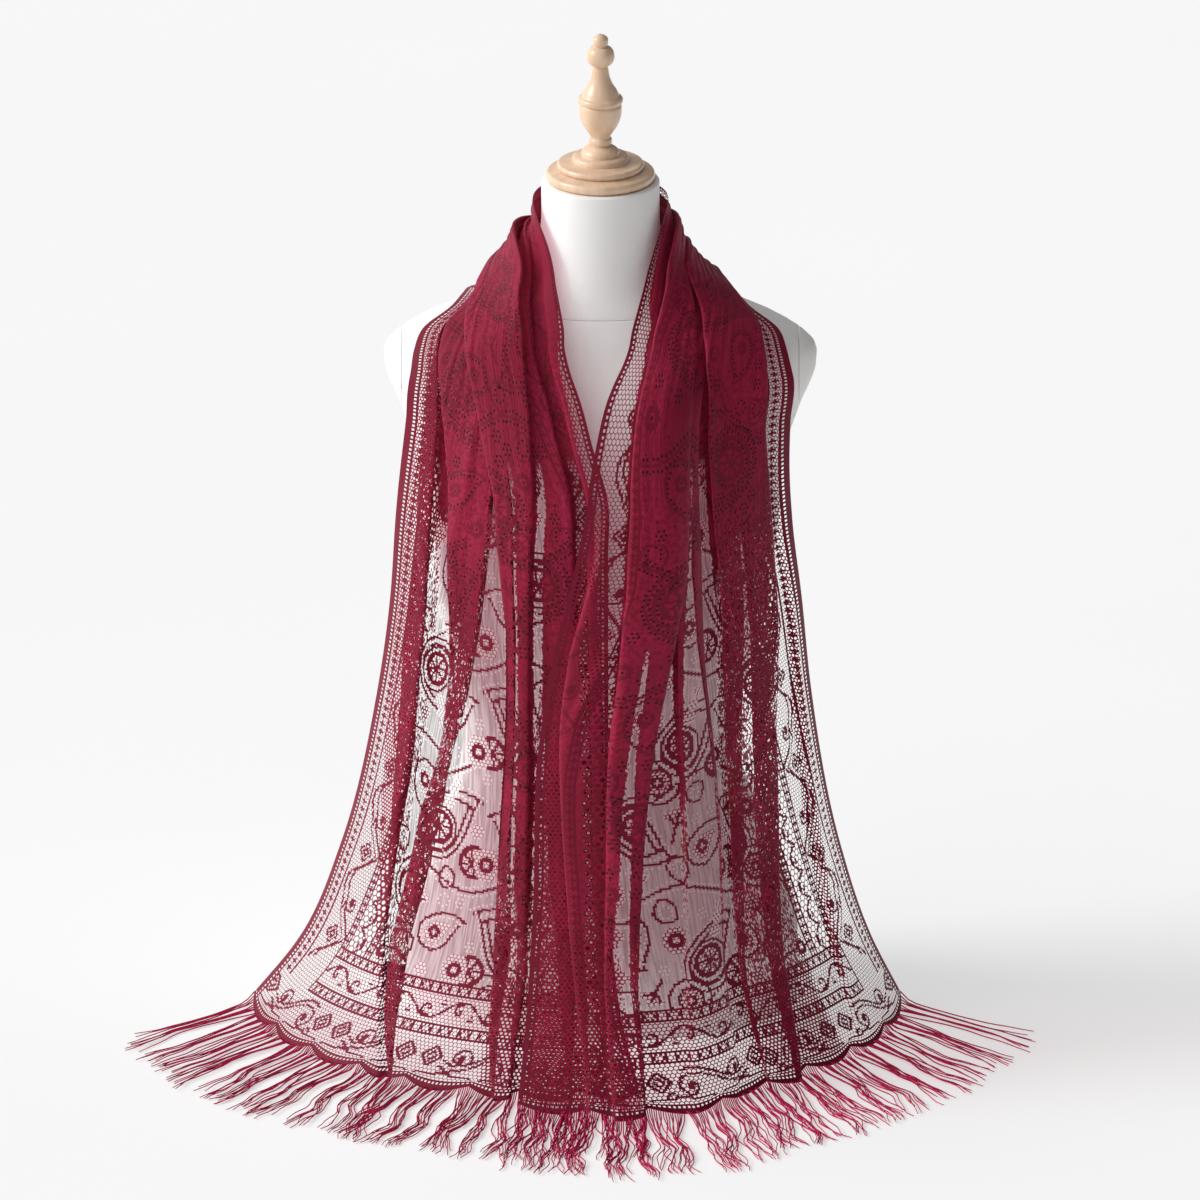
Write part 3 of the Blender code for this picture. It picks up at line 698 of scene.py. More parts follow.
class Motif(Enum):
    """The figures of the field."""

    PAISLEY = "paisley"
    TEARDROP = "teardrop"
    WHEEL = "wheel"
    ROSETTE = "rosette"
    STAR = "star"
    NET_OVAL = "net oval"
    SPRAY = "spray"


@dataclass(frozen=True)
class Placed:
    """A figure of the field: its middle and size in cells, and its turn in degrees."""

    motif: Motif
    column: float
    row: float
    size: float = 0.0
    turn: float = 0.0
    flip: int = 1


FIELD_REPEAT = (
    Placed(Motif.PAISLEY, 23, 27, 50, 22),
    Placed(Motif.PAISLEY, 57, 80, 48, 202, -1),
    Placed(Motif.PAISLEY, 62, 27, 29, -148, -1),
    Placed(Motif.PAISLEY, 17, 82, 30, -18),
    Placed(Motif.ROSETTE, 41, 55, 7),
    Placed(Motif.WHEEL, 74, 58, 7),
    Placed(Motif.TEARDROP, 44, 12, 15, 12),
    Placed(Motif.TEARDROP, 36, 100, 14, 190),
    Placed(Motif.TEARDROP, 5, 56, 15, 4),
    Placed(Motif.TEARDROP, 60, 50, 12, 150, -1),
    Placed(Motif.NET_OVAL, 74, 6, 8),
    Placed(Motif.STAR, 74, 6, 4),
    Placed(Motif.NET_OVAL, 38, 84, 7),
    Placed(Motif.STAR, 38, 84, 4),
    Placed(Motif.NET_OVAL, 4, 6, 7),
    Placed(Motif.STAR, 4, 6, 4),
    Placed(Motif.SPRAY, 46, 34, 8, 20),
    Placed(Motif.SPRAY, 26, 60, 7, 210),
)

PLUS = np.array([[0, 0], [1, 0], [-1, 0], [0, 1], [0, -1]])
DIAMOND = np.array([[1, 0], [0, 1], [-1, 0], [0, -1], [1, 0]])
SIDE_SCROLL = np.array([[12, 0], [13, 4], [26, 14], [27, 17], [16, 28], [15, 33], [12, 40],
                        [12, 44]])
END_SWEEP = np.array([[12.5, 11.0], [16.5, 9.4], [22.0, 9.6], [27.5, 12.0], [33.0, 15.8],
                      [39.0, 18.8], [44.0, 19.2], [47.2, 17.6]])


@dataclass(frozen=True)
class SideBorder:
    """Columns of a side border, counted from its edge."""

    selvedge: int
    lines: tuple[int, ...]
    diamonds: tuple[int, ...]
    wide_net: tuple[int, int] = (36, 49)


SIDE_BORDERS = {False: SideBorder(3, (10, 31, 35, 49, 53), (7, 33, 51)),
                True: SideBorder(2, (31, 35, 49, 53), (33, 51))}


@dataclass
class LaceChart:
    """The pattern of half the shawl, from its hem to the middle of its length, cell by cell."""

    columns: int = 264
    rows: int = 466
    edge_columns: int = 14
    edge_spread: float = 0.9
    border: int = 54
    field_from: int = 51
    repeat_columns: int = 78
    repeat_rows: int = 104
    ground_columns: int = 9
    ground_rows: int = 10
    side_scroll_rows: int = 44
    vine_rows: int = 14
    end_margin: int = 32
    end_net_from: int = 4
    end_bands: tuple[int, ...] = (25, 30, 45, 50)
    end_vine_row: float = 37.5
    end_scroll_row: float = 15.5
    scallops: int = 8
    cells: np.ndarray = field(init=False)

    def __post_init__(self) -> None:
        """Draw the chart."""
        self.cells = np.full((self.rows, self.columns), Cell.SHEER, np.int8)
        self.draw_field()
        self.fill_ground()
        self.draw_side_borders()
        self.draw_end_border()
        self.draw_edges()

    def across(self, width: float) -> np.ndarray:
        """Distances from the outer edge of the lines between columns, wider apart at that edge.

        Args:
            width: Width of the cloth.

        Returns:
            One distance more than there are columns.
        """
        middle = np.arange(self.columns) + 0.5
        wider = 1 - ease(middle, self.edge_columns / 2, self.edge_columns * 1.5)
        size = 1 + self.edge_spread * wider
        return np.concatenate([[0.0], np.cumsum(size)]) * width / size.sum()

    # -- marks
    def mark(self, columns: np.ndarray, rows: np.ndarray, kind: Cell) -> None:
        """Set single cells, leaving out what falls off the chart.

        Args:
            columns: Their columns.
            rows: Their rows.
            kind: What they become.
        """
        c, r = np.round(columns).astype(int), np.round(rows).astype(int)
        inside = (c >= 0) & (c < self.columns) & (r >= 0) & (r < self.rows)
        self.cells[r[inside], c[inside]] = kind

    def stroke(self, points: np.ndarray, kind: Cell = Cell.SOLID, thick: bool = False) -> None:
        """Draw a line of cells through points.

        Args:
            points: Points of the line, as columns and rows.
            kind: What its cells become.
            thick: Whether it is two cells wide.
        """
        points = np.asarray(points, float)
        run = lengths(points)
        at = np.arange(0, run[-1] + 0.2, 0.25)
        path = np.round(np.stack([np.interp(at, run, points[:, 0]),
                                  np.interp(at, run, points[:, 1])], axis=1)).astype(int)
        c, r = path.T
        self.mark(c, r, kind)
        if thick:
            self.mark(c + 1, r, kind)
            self.mark(c, r + 1, kind)

    def dots(self, points: np.ndarray, pitch: float = 2.0, kind: Cell = Cell.HOLE) -> None:
        """Set cells at an even pitch along a line.

        Args:
            points: Points of the line, as columns and rows.
            pitch: Cells from one to the next.
            kind: What they become.
        """
        points = np.asarray(points, float)
        run = lengths(points)
        at = np.linspace(0, run[-1], max(2, round(run[-1] / pitch) + 1))
        self.mark(np.interp(at, run, points[:, 0]), np.interp(at, run, points[:, 1]), kind)

    def fill(self, points: np.ndarray, kind: Cell) -> None:
        """Fill a closed outline.

        Args:
            points: The outline, as columns and rows.
            kind: What the cells within it become.
        """
        points = np.asarray(points, float)
        low = np.maximum(np.floor(points.min(0)).astype(int), 0)
        high = np.minimum(np.ceil(points.max(0)).astype(int) + 1, [self.columns, self.rows])
        if np.any(high <= low):
            return
        c, r = np.meshgrid(np.arange(low[0], high[0]), np.arange(low[1], high[1]))
        inside = np.zeros(c.shape, bool)
        for (x0, y0), (x1, y1) in zip(points, np.roll(points, -1, axis=0)):
            if y0 == y1:
                continue
            crosses = (y0 > r) != (y1 > r)
            inside ^= crosses & (c < (x1 - x0) * (r - y0) / (y1 - y0) + x0)
        self.cells[r[inside], c[inside]] = kind

    # -- outlines
    @staticmethod
    def circle(column: float, row: float, radius: float, squash: float = 1.0) -> np.ndarray:
        """Points round a circle or oval."""
        t = np.linspace(0, TURN, 73)
        return np.stack([column + radius * squash * np.cos(t), row + radius * np.sin(t)], axis=1)

    @staticmethod
    def drop(at: Placed, scale: float = 1.0, curl: float = 0.42,
             breadth: float = 0.62) -> np.ndarray:
        """Outline of a paisley.

        Args:
            at: Its middle, length, turn and flip.
            scale: Size about the middle of its round end.
            curl: How far its tip bends over, as a share of its length.
            breadth: Its breadth, as a share of its length.

        Returns:
            Points of the outline, starting and ending at the tip.
        """
        t = np.linspace(0, TURN, 121)
        x = breadth * 0.62 * np.sin(t) * np.sin(t / 2) ** 1.3
        y = -0.5 * np.cos(t)
        tip = 0.5 - y
        x, y = x + curl * tip ** 3 * 0.8, y + 0.22 * tip ** 6
        x, y = x * scale, 0.22 + (y - 0.22) * scale
        angle = math.radians(at.turn)
        c = at.flip * (x * math.cos(angle) - y * math.sin(angle)) * at.size
        r = (x * math.sin(angle) + y * math.cos(angle)) * at.size
        return np.stack([at.column + c, at.row + r], axis=1)

    @staticmethod
    def spiral(column: float, row: float, radius: float, turns: float, start: float,
               way: int = 1) -> np.ndarray:
        """Points of a spiral.

        Args:
            column: Its middle.
            row: Its middle.
            radius: Its outer radius.
            turns: How many turns it makes.
            start: Direction of its outer end, in turns.
            way: 1 or -1, the way it winds.

        Returns:
            Points from the outer end to the middle.
        """
        t = np.linspace(0, 1, 90)
        size = radius * (1 - 0.86 * t)
        angle = TURN * (start + way * turns * t)
        return np.stack([column + size * np.cos(angle), row + size * np.sin(angle)], axis=1)

    # -- figures
    def wheel(self, column: float, row: float, radius: float, spokes: int = 8) -> None:
        """A wheel: rim, spokes and hub over net.

        Args:
            column: Its middle.
            row: Its middle.
            radius: Its radius.
            spokes: How many spokes it has.
        """
        self.fill(self.circle(column, row, radius), Cell.NET)
        for k in range(spokes):
            angle = TURN * (k + 0.25) / spokes
            reach = np.array([0.2, 1.0]) * radius
            self.stroke(np.stack([column + reach * math.cos(angle),
                                  row + reach * math.sin(angle)], axis=1))
        self.fill(self.circle(column, row, radius * 0.2), Cell.SOLID)
        self.stroke(self.circle(column, row, radius), thick=radius > 6.5)

    def rosette(self, column: float, row: float, radius: float) -> None:
        """Rings of thread and of holes round a net disc with a star.

        Args:
            column: Its middle.
            row: Its middle.
            radius: Radius of the ring of holes, nearly.
        """
        self.stroke(self.circle(column, row, radius + 3))
        self.dots(self.circle(column, row, radius + 1.2), 2.6)
        self.fill(self.circle(column, row, radius - 1.5), Cell.NET)
        self.stroke(self.circle(column, row, radius - 1.2))
        self.star(column, row, radius * 0.45)
        self.dots(self.circle(column, row, radius * 0.66), radius * 0.52, Cell.SOLID)

    def star(self, column: float, row: float, radius: float) -> None:
        """A small solid flower of eight petals round a hole.

        Args:
            column: Its middle.
            row: Its middle.
            radius: Its radius, nearly.
        """
        for k in range(8):
            angle = TURN * k / 8
            self.fill(self.circle(column + radius * 0.7 * math.cos(angle),
                                  row + radius * 0.7 * math.sin(angle), radius * 0.34), Cell.SOLID)
        self.mark(np.array([column]), np.array([row]), Cell.HOLE)

    def blossom(self, column: float, row: float) -> None:
        """Six holes round a seventh.

        Args:
            column: Its middle.
            row: Its middle.
        """
        self.mark(np.array([column]), np.array([row]), Cell.HOLE)
        angle = TURN * np.arange(6) / 6
        self.mark(column + 2.2 * np.cos(angle), row + 2.4 * np.sin(angle), Cell.HOLE)

    def spray(self, at: Placed) -> None:
        """Three leaves of net on a stem.

        Args:
            at: Its middle, size and turn.
        """
        angle = math.radians(at.turn)
        for swing, size in ((-0.8, 0.7), (0.0, 1.0), (0.8, 0.7)):
            way = angle + swing
            c = at.column + math.sin(way) * at.size * 0.7
            r = at.row + math.cos(way) * at.size * 0.7
            self.fill(self.circle(c, r, at.size * 0.36 * size), Cell.NET)
            self.stroke(np.array([[at.column, at.row], [c, r]]))
        foot = [at.column - math.sin(angle) * at.size, at.row - math.cos(angle) * at.size]
        self.stroke(np.array([[at.column, at.row], foot]))

    def paisley(self, at: Placed) -> None:
        """A paisley with a row of holes along its outline and a wheel or star in its round end.

        Args:
            at: Its middle, size, turn and flip.
        """
        angle = math.radians(at.turn)
        c = at.column - at.flip * math.sin(angle) * at.size * 0.2
        r = at.row + math.cos(angle) * at.size * 0.2
        self.stroke(self.drop(at))
        if at.size > 40:
            self.dots(self.drop(at, 1.10), 2.3)
            self.dots(self.drop(at, 0.90), 2.3)
            self.stroke(self.drop(at, 0.79))
            for away, size in ((0.30, 0.070), (0.42, 0.055), (0.53, 0.04)):
                back_c = c + at.flip * math.sin(angle) * at.size * away
                back_r = r - math.cos(angle) * at.size * away
                self.fill(self.circle(back_c, back_r, at.size * size), Cell.NET)
                self.blossom(back_c, back_r)
            self.stroke(self.circle(c, r, at.size * 0.21))
            self.dots(self.circle(c, r, at.size * 0.185), 2.3)
            self.wheel(c, r, at.size * 0.145)
        else:
            self.dots(self.drop(at, 0.84), 2.3)
            self.fill(self.drop(at, 0.60), Cell.NET)
            self.star(c, r, at.size * 0.12)

    def teardrop(self, at: Placed) -> None:
        """A small drop: its outline with holes inside."""
        self.stroke(self.drop(at, 1.0, 0.20, 0.8))
        self.dots(self.drop(at, 0.55, 0.20, 0.8), 2.2)

    def figure(self, at: Placed) -> None:
        """Draw one figure of the field.

        Args:
            at: Which one, and where.
        """
        turned = {Motif.PAISLEY: self.paisley, Motif.TEARDROP: self.teardrop,
                  Motif.SPRAY: self.spray}
        even = {Motif.WHEEL: self.wheel, Motif.ROSETTE: self.rosette, Motif.STAR: self.star}
        if at.motif in turned:
            turned[at.motif](at)
        elif at.motif in even:
            even[at.motif](at.column, at.row, at.size)
        else:
            self.fill(self.circle(at.column, at.row, at.size, 0.8), Cell.NET)

    # -- parts of the pattern
    def draw_field(self) -> None:
        """The paisley field: the repeat side by side with its mirror image, half a repeat down."""
        wave = np.linspace(self.border - 10, self.columns - self.border + 10, 240)
        repeats = math.ceil((self.rows - self.field_from) / self.repeat_rows) + 1
        for number in range(-1, repeats):
            start = self.field_from + number * self.repeat_rows
            for level, turn in ((51, 0.8), (103, 2.6)):
                line = start + level + 7 * np.sin(TURN * wave / self.repeat_columns + turn)
                points = np.stack([wave, line], axis=1)
                self.stroke(points)
                self.dots(points + [0, 2.2], 2.2)
                self.dots(points - [0, 2.2], 2.2)
        for number in range(-1, repeats):
            for half, offset in ((0, 0), (1, self.repeat_rows // 2)):
                for figure in FIELD_REPEAT:
                    column = self.border + figure.column
                    turn, flip = figure.turn, figure.flip
                    if half:
                        column, flip = self.columns - 1 - column, -flip
                        turn = turn if figure.motif is Motif.PAISLEY else -turn
                    row = self.field_from + number * self.repeat_rows + offset + figure.row
                    self.figure(Placed(figure.motif, column, row, figure.size, turn, flip))

    def fill_ground(self) -> None:
        """Small blossoms, rings of holes and lozenges of net wherever the ground is plain."""
        number = 0
        for row in range(self.field_from + 3, self.rows, self.ground_rows // 2):
            shift = (row // (self.ground_rows // 2)) % 2 * self.ground_columns // 2
            for column in range(self.border + 3 + shift, self.columns - self.border - 3,
                                self.ground_columns):
                around = self.cells[max(row - 3, 0):row + 4, column - 3:column + 4]
                if np.any(around != Cell.SHEER):
                    continue
                number += 1
                if number % 7 == 3:
                    self.dots(self.circle(column, row, 2.7), 2.1)
                elif number % 5 == 2:
                    self.fill(self.circle(column, row, 3.2), Cell.NET)
                else:
                    self.blossom(column, row)

    def draw_side_borders(self) -> None:
        """Net with a double scroll and a vine along each long edge, between rows of diamonds."""
        for mirrored, plan in SIDE_BORDERS.items():
            self.column_cells(range(self.border), mirrored, Cell.NET)
            self.column_cells(range(*plan.wide_net), mirrored, Cell.WIDE_NET)
            self.column_cells(plan.lines, mirrored, Cell.SOLID)
            for centre in plan.diamonds:
                self.small_diamonds(centre, mirrored)
            for start in range(self.field_from - 14, self.rows, self.side_scroll_rows):
                self.side_scroll(start, mirrored)
            for start in range(self.field_from - 16, self.rows, self.vine_rows):
                self.side_vine(start, mirrored)

    def side_scroll(self, start: int, mirrored: bool) -> None:
        """One repeat of the scroll along an edge.

        Args:
            start: Its first row.
            mirrored: Whether columns are counted from the inner edge.
        """
        hook_row = start + 34
        for shift in (0.0, 3.2):
            self.stroke(self.from_edge(SIDE_SCROLL + [shift, start + shift * 0.5], mirrored))
        for radius in (4.6, 2.2):
            self.stroke(self.from_edge(DIAMOND * radius + [18.5, start + 16], mirrored))
        self.stroke(self.from_edge(self.spiral(23, hook_row, 5.0, 1.1, 0.55, 1), mirrored))
        self.fill(self.from_edge(self.circle(23, hook_row, 2.2), mirrored), Cell.SOLID)
        self.stroke(self.from_edge(np.array([[18, hook_row], [16, hook_row - 5]]), mirrored))

    def side_vine(self, start: int, mirrored: bool) -> None:
        """One repeat of the vine of hooks along the band of wide net.

        Args:
            start: Its first row.
            mirrored: Whether columns are counted from the inner edge.
        """
        bend = np.linspace(0, 1, 20)
        stem = np.stack([38.5 + 7 * np.sin(math.pi * bend), start + self.vine_rows * bend], axis=1)
        self.stroke(self.from_edge(stem, mirrored))
        hook = self.spiral(41.5, start + self.vine_rows * 0.5, 2.6, 0.8, 0.12, -1)
        self.stroke(self.from_edge(hook, mirrored))

    def at_edge(self, columns: Iterable[int], mirrored: bool) -> np.ndarray:
        """Columns counted from one edge or the other."""
        columns = np.array(list(columns))
        return self.columns - 1 - columns if mirrored else columns

    def from_edge(self, points: np.ndarray, mirrored: bool) -> np.ndarray:
        """Points whose columns are counted from one edge or the other."""
        return np.stack([self.at_edge(points[:, 0], mirrored), points[:, 1]], axis=1)

    def column_cells(self, columns: Iterable[int], mirrored: bool, kind: Cell) -> None:
        """Set whole columns, counted from one edge or the other."""
        self.cells[:, self.at_edge(columns, mirrored)] = kind

    def small_diamonds(self, centre: int, mirrored: bool, pitch: int = 4) -> None:
        """A row of diamonds of five cells along an edge."""
        for row in range(2, self.rows, pitch):
            self.mark(self.at_edge(centre + PLUS[:, 0], mirrored), row + PLUS[:, 1], Cell.SOLID)

    def draw_end_border(self) -> None:
        """Bands across the end: spirals on net, two rows of diamonds and a vine between them."""
        low, high = self.end_margin, self.columns - self.end_margin
        bands, vine_row = self.end_bands, self.end_vine_row
        self.cells[self.end_net_from:bands[0]] = Cell.NET
        self.cells[bands[0]:self.field_from, low:high] = Cell.NET
        self.cells[bands, low:high] = Cell.SOLID
        cross = np.array([[-1, -0.5], [0, -0.5], [-1, 0.5], [0, 0.5], [0.5, 1.5], [-1.5, 1.5],
                          [0.5, -1.5], [-1.5, -1.5]])
        for row in ((bands[0] + bands[1]) / 2, (bands[2] + bands[3]) / 2):
            for column in np.arange(low + 3, high - 1, 5):
                self.mark(column + cross[:, 0], row + cross[:, 1], Cell.SOLID)
        period = self.columns / self.scallops
        c = np.linspace(low, high, 400)
        self.stroke(np.stack([c, vine_row + 4.8 * np.sin(TURN * c / period)], axis=1))
        leaf = np.array([[5, 0], [6, 1], [7, 0], [6, -1], [6, 0]])
        for k in range(2 * self.scallops):
            middle, way = (k + 0.5) * period / 2, 1 if k % 2 == 0 else -1
            if low + 4 < middle < high - 4:
                self.stroke(self.spiral(middle - 1, vine_row + way * 0.4, 3.4, 1.0, 0.2 * way, way))
                self.mark(middle + leaf[:, 0], vine_row - way * 3 + leaf[:, 1], Cell.SOLID)
        arc = np.linspace(0.05, 0.95, 30)
        for k in range(self.scallops):
            self.stroke(np.stack([(k + arc) * period, 6.0 + 1.6 * np.sin(math.pi * arc)], axis=1))
        for start in np.arange(0, self.columns, 2 * period):
            self.end_scroll(start)

    def end_scroll(self, start: float) -> None:
        """Double diamonds, and a double line that sweeps between two spirals.

        Args:
            start: Its first column.
        """
        for column in (6.0, 58.0):
            for radius in (5.0, 2.4):
                self.stroke(DIAMOND * radius + [start + column, self.end_scroll_row])
        for column, row, turn, way in ((20.5, 16.0, 0.93, 1), (45.0, 13.0, 0.20, -1)):
            self.stroke(self.spiral(start + column, row, 5.4, 1.25, turn, way))
        for across, up in ((0.0, 0.0), (0.8, 3.0)):
            self.stroke(END_SWEEP + [start + across, up])
        for column, row in ((20.5, 16.0), (45.0, 13.0)):
            self.fill(self.circle(start + column, row, 1.8), Cell.SOLID)
        self.stroke(np.array([[51.0, 8.0], [53.5, 10.5], [56.0, 8.5]]) + [start, 0.0])

    def draw_edges(self) -> None:
        """The solid selvedges with their eyelets, and the solid hem with its own."""
        open_rows = np.arange(self.rows) % 2 == 1
        for mirrored, plan in SIDE_BORDERS.items():
            self.column_cells((*range(plan.selvedge), plan.selvedge + 1), mirrored, Cell.SOLID)
            eyelets = self.at_edge([plan.selvedge], mirrored)
            self.cells[:, eyelets] = np.where(open_rows, Cell.HOLE, Cell.SOLID)[:, None]
        self.cells[0:5] = Cell.SOLID
        self.cells[3, 1::2] = Cell.HOLE


# ---------------------------------------------------------------- node wiring
class Wiring:
    """Adds nodes to a tree and links them."""

    def __init__(self, tree: bpy.types.NodeTree) -> None:
        """Keep the tree."""
        self.tree = tree

    def node(self, kind: str, **settings: object) -> bpy.types.Node:
        """Add a node.

        Args:
            kind: Its type.
            settings: Its properties.

        Returns:
            The node.
        """
        made = self.tree.nodes.new(kind)
        for name, value in settings.items():
            setattr(made, name, value)
        return made

    def feed(self, inputs: bpy.types.NodeInputs, values: Inputs) -> None:
        """Link inputs to other sockets, or set their values.

        Args:
            inputs: The inputs of a node.
            values: What goes into them, by their names or numbers.
        """
        for name, value in values.items():
            if isinstance(value, Socket):
                self.tree.links.new(value, inputs[name])
            else:
                inputs[name].default_value = value

    def fed(self, kind: str, values: Inputs, result: Union[int, str] = 0,
            **settings: object) -> Socket:
        """Add a node with values in its inputs.

        Args:
            kind: The node's type.
            values: What goes into its inputs, by their names or numbers.
            result: Name or number of the output that is given back.
            settings: Properties of the node.

        Returns:
            The output.
        """
        made = self.node(kind, **settings)
        self.feed(made.inputs, values)
        return made.outputs[result]

    def math(self, operation: str, *values: Value, clamp: bool = False) -> Socket:
        """Result of a Math node."""
        inputs = dict(enumerate(values))
        return self.fed("ShaderNodeMath", inputs, operation=operation, use_clamp=clamp)

    def vector(self, operation: str, *values: Value) -> Socket:
        """Result of a Vector Math node, which is a number for a length or a dot product."""
        inputs, result = dict(enumerate(values)), int(operation in ("LENGTH", "DOT_PRODUCT"))
        return self.fed("ShaderNodeVectorMath", inputs, result, operation=operation)

    def split(self, vector: Value) -> Sequence[Socket]:
        """The three numbers of a vector."""
        return self.fed("ShaderNodeSeparateXYZ", {0: vector}).node.outputs

    def join(self, *numbers: Value) -> Socket:
        """Vector of three numbers."""
        return self.fed("ShaderNodeCombineXYZ", dict(enumerate(numbers)))

    def mix(self, factor: Value, a: Value, b: Value) -> Socket:
        """Mixed number."""
        return self.fed("ShaderNodeMix", {0: factor, 2: a, 3: b}, data_type="FLOAT")

    def mix_colour(self, factor: Value, a: Value, b: Value) -> Socket:
        """Mixed colour."""
        return self.fed("ShaderNodeMix", {0: factor, 6: a, 7: b}, 2, data_type="RGBA")

    def smooth(self, *values: Value) -> Socket:
        """Value stepped smoothly between two limits, to 0 and 1 or to two numbers that follow."""
        inputs = dict(enumerate(values))
        return self.fed("ShaderNodeMapRange", inputs, interpolation_type="SMOOTHSTEP")

    def noise(self, vector: Value, scale: float, detail: float = 2.0) -> Socket:
        """Value of a Noise Texture."""
        inputs = {"Vector": vector, "Scale": scale, "Detail": detail}
        return self.fed("ShaderNodeTexNoise", inputs, "Fac")

    def attribute(self, name: str) -> Socket:
        """Value of an attribute of the mesh."""
        return self.node("ShaderNodeAttribute", attribute_name=name).outputs["Fac"]

    def object_place(self) -> Socket:
        """Place in the object's own frame."""
        return self.node("ShaderNodeTexCoord").outputs["Object"]

    def group(self, tree: bpy.types.NodeTree, **values: Value) -> bpy.types.NodeOutputs:
        """Place a node group, whose inputs get the values of their names, and give its outputs."""
        return self.fed("ShaderNodeGroup", values, node_tree=tree).node.outputs


NUMBER, VECTOR = "NodeSocketFloat", "NodeSocketVector"


class EffectGroup(Wiring):
    """A shader node group that gives masks and heights, all of them numbers, at a place."""

    def __init__(self, name: str, outputs: Sequence[str], **defaults: float) -> None:
        """Make the group's sockets.

        Args:
            name: Name of the group.
            outputs: Names of its outputs.
            defaults: Its inputs beside Place, and their defaults.
        """
        super().__init__(bpy.data.node_groups.new(name, "ShaderNodeTree"))
        sockets = self.tree.interface
        sockets.new_socket("Place", in_out="INPUT", socket_type=VECTOR)
        for label, default in defaults.items():
            sockets.new_socket(label, in_out="INPUT", socket_type=NUMBER).default_value = default
        for label in outputs:
            sockets.new_socket(label, in_out="OUTPUT", socket_type=NUMBER)
        self.inputs = self.node("NodeGroupInput").outputs
        self.outputs = self.node("NodeGroupOutput").inputs

    def give(self, **values: Socket) -> bpy.types.NodeTree:
        """Link values to the outputs of their names, and give the finished tree."""
        self.feed(self.outputs, values)
        return self.tree


def net_group() -> bpy.types.NodeTree:
    """Six-sided net: how near a place is to a thread.

    Returns:
        The group.
    """
    w = EffectGroup("six_sided_net", ["Mask"], Cell=0.0038, Thread=0.12)
    tall, soft_edge = math.sqrt(3.0), 0.05
    height = w.math("MULTIPLY", w.inputs["Cell"], tall)
    scaled = w.vector("DIVIDE", w.inputs["Place"], w.join(w.inputs["Cell"], height, 1.0))
    candidates = []
    for offset in (0.0, 0.5):
        moved = w.vector("FRACTION", w.vector("ADD", scaled, (offset, offset, 0.0)))
        centred = w.vector("SUBTRACT", moved, (0.5, 0.5, 0.0))
        candidates.append(w.vector("MULTIPLY", centred, (1.0, tall, 0.0)))
    nearer = w.math("LESS_THAN", *(w.vector("LENGTH", one) for one in candidates[::-1]))
    chosen = w.fed("ShaderNodeMix", {0: nearer, 4: candidates[0], 5: candidates[1]}, 1,
                   data_type="VECTOR")
    away = w.vector("ABSOLUTE", chosen)
    slanted = w.vector("DOT_PRODUCT", away, (0.5, tall / 2, 0.0))
    reach = w.math("MAXIMUM", w.split(away)[0], slanted)
    inset = w.math("SUBTRACT", 0.5, w.inputs["Thread"])
    return w.give(Mask=w.math("DIVIDE", w.math("SUBTRACT", reach, inset), soft_edge, clamp=True))


def threads_group() -> bpy.types.NodeTree:
    """Fine uneven threads along the cloth, and how they close up where it is packed.

    Returns:
        The group.
    """
    w = EffectGroup("fine_threads", ["Thread", "Closed", "Height"], Pitch=0.0017, Packing=0.0)
    across, along = (w.math("DIVIDE", number, w.inputs["Pitch"])
                     for number in w.split(w.inputs["Place"])[:2])
    spread = [w.noise(w.join(across, w.math("MULTIPLY", along, stretch), stretch), scale, 1.0)
              for stretch, scale in ((0.06, 0.8), (0.36, 1.5))]
    thread = w.smooth(spread[0], 0.36, 0.64)
    least = w.math("MULTIPLY_ADD", w.inputs["Packing"], -0.46, 0.74)
    closed = w.math("DIVIDE", w.math("SUBTRACT", spread[1], least), 0.06, clamp=True)
    height = w.math("ADD", thread, w.math("MULTIPLY", closed, 0.4))
    return w.give(Thread=thread, Closed=closed, Height=height)


def tone_group() -> bpy.types.NodeTree:
    """Slow and quick unevenness of a dye, from 0 to 1.

    Returns:
        The group.
    """
    w = EffectGroup("dye_tone", ["Slow", "Quick"])
    return w.give(Slow=w.noise(w.inputs["Place"], 9.0, 2.0),
                  Quick=w.noise(w.inputs["Place"], 260.0, 1.0))


def weave_group() -> bpy.types.NodeTree:
    """Plain weave of a stretched cover, as a height.

    Returns:
        The group.
    """
    w = EffectGroup("plain_weave", ["Height"], Pitch=0.0011)
    x, y, z = w.split(w.inputs["Place"])[:3]
    mean_radius = 0.13
    around = w.math("MULTIPLY", w.math("ARCTAN2", y, x), mean_radius)
    waves = [w.math("SINE", w.math("DIVIDE", w.math("MULTIPLY", place, TURN), w.inputs["Pitch"]))
             for place in (around, z)]
    weave = w.math("MULTIPLY", waves[0], waves[1])
    fuzz = w.noise(w.inputs["Place"], 700.0, 2.0)
    return w.give(Height=w.math("ADD", w.math("MULTIPLY", weave, 0.5), fuzz))


def grain_group() -> bpy.types.NodeTree:
    """Grain of pale turned wood, streaked along the axis.

    Returns:
        The group.
    """
    w = EffectGroup("wood_grain", ["Grain", "Pores"])
    grain, pores = (
        w.noise(w.vector("MULTIPLY", w.inputs["Place"], (1.0, 1.0, stretch)), scale, detail)
        for stretch, scale, detail in ((0.16, 120.0, 3.0), (0.05, 900.0, 1.0)))
    return w.give(Grain=grain, Pores=pores)


# ---------------------------------------------------------------- finishes
class Effects:
    """The node groups that the finishes share, built once."""

    def __init__(self) -> None:
        """Build every group."""
        self.net = net_group()
        self.threads = threads_group()
        self.tone = tone_group()
        self.weave = weave_group()
        self.grain = grain_group()


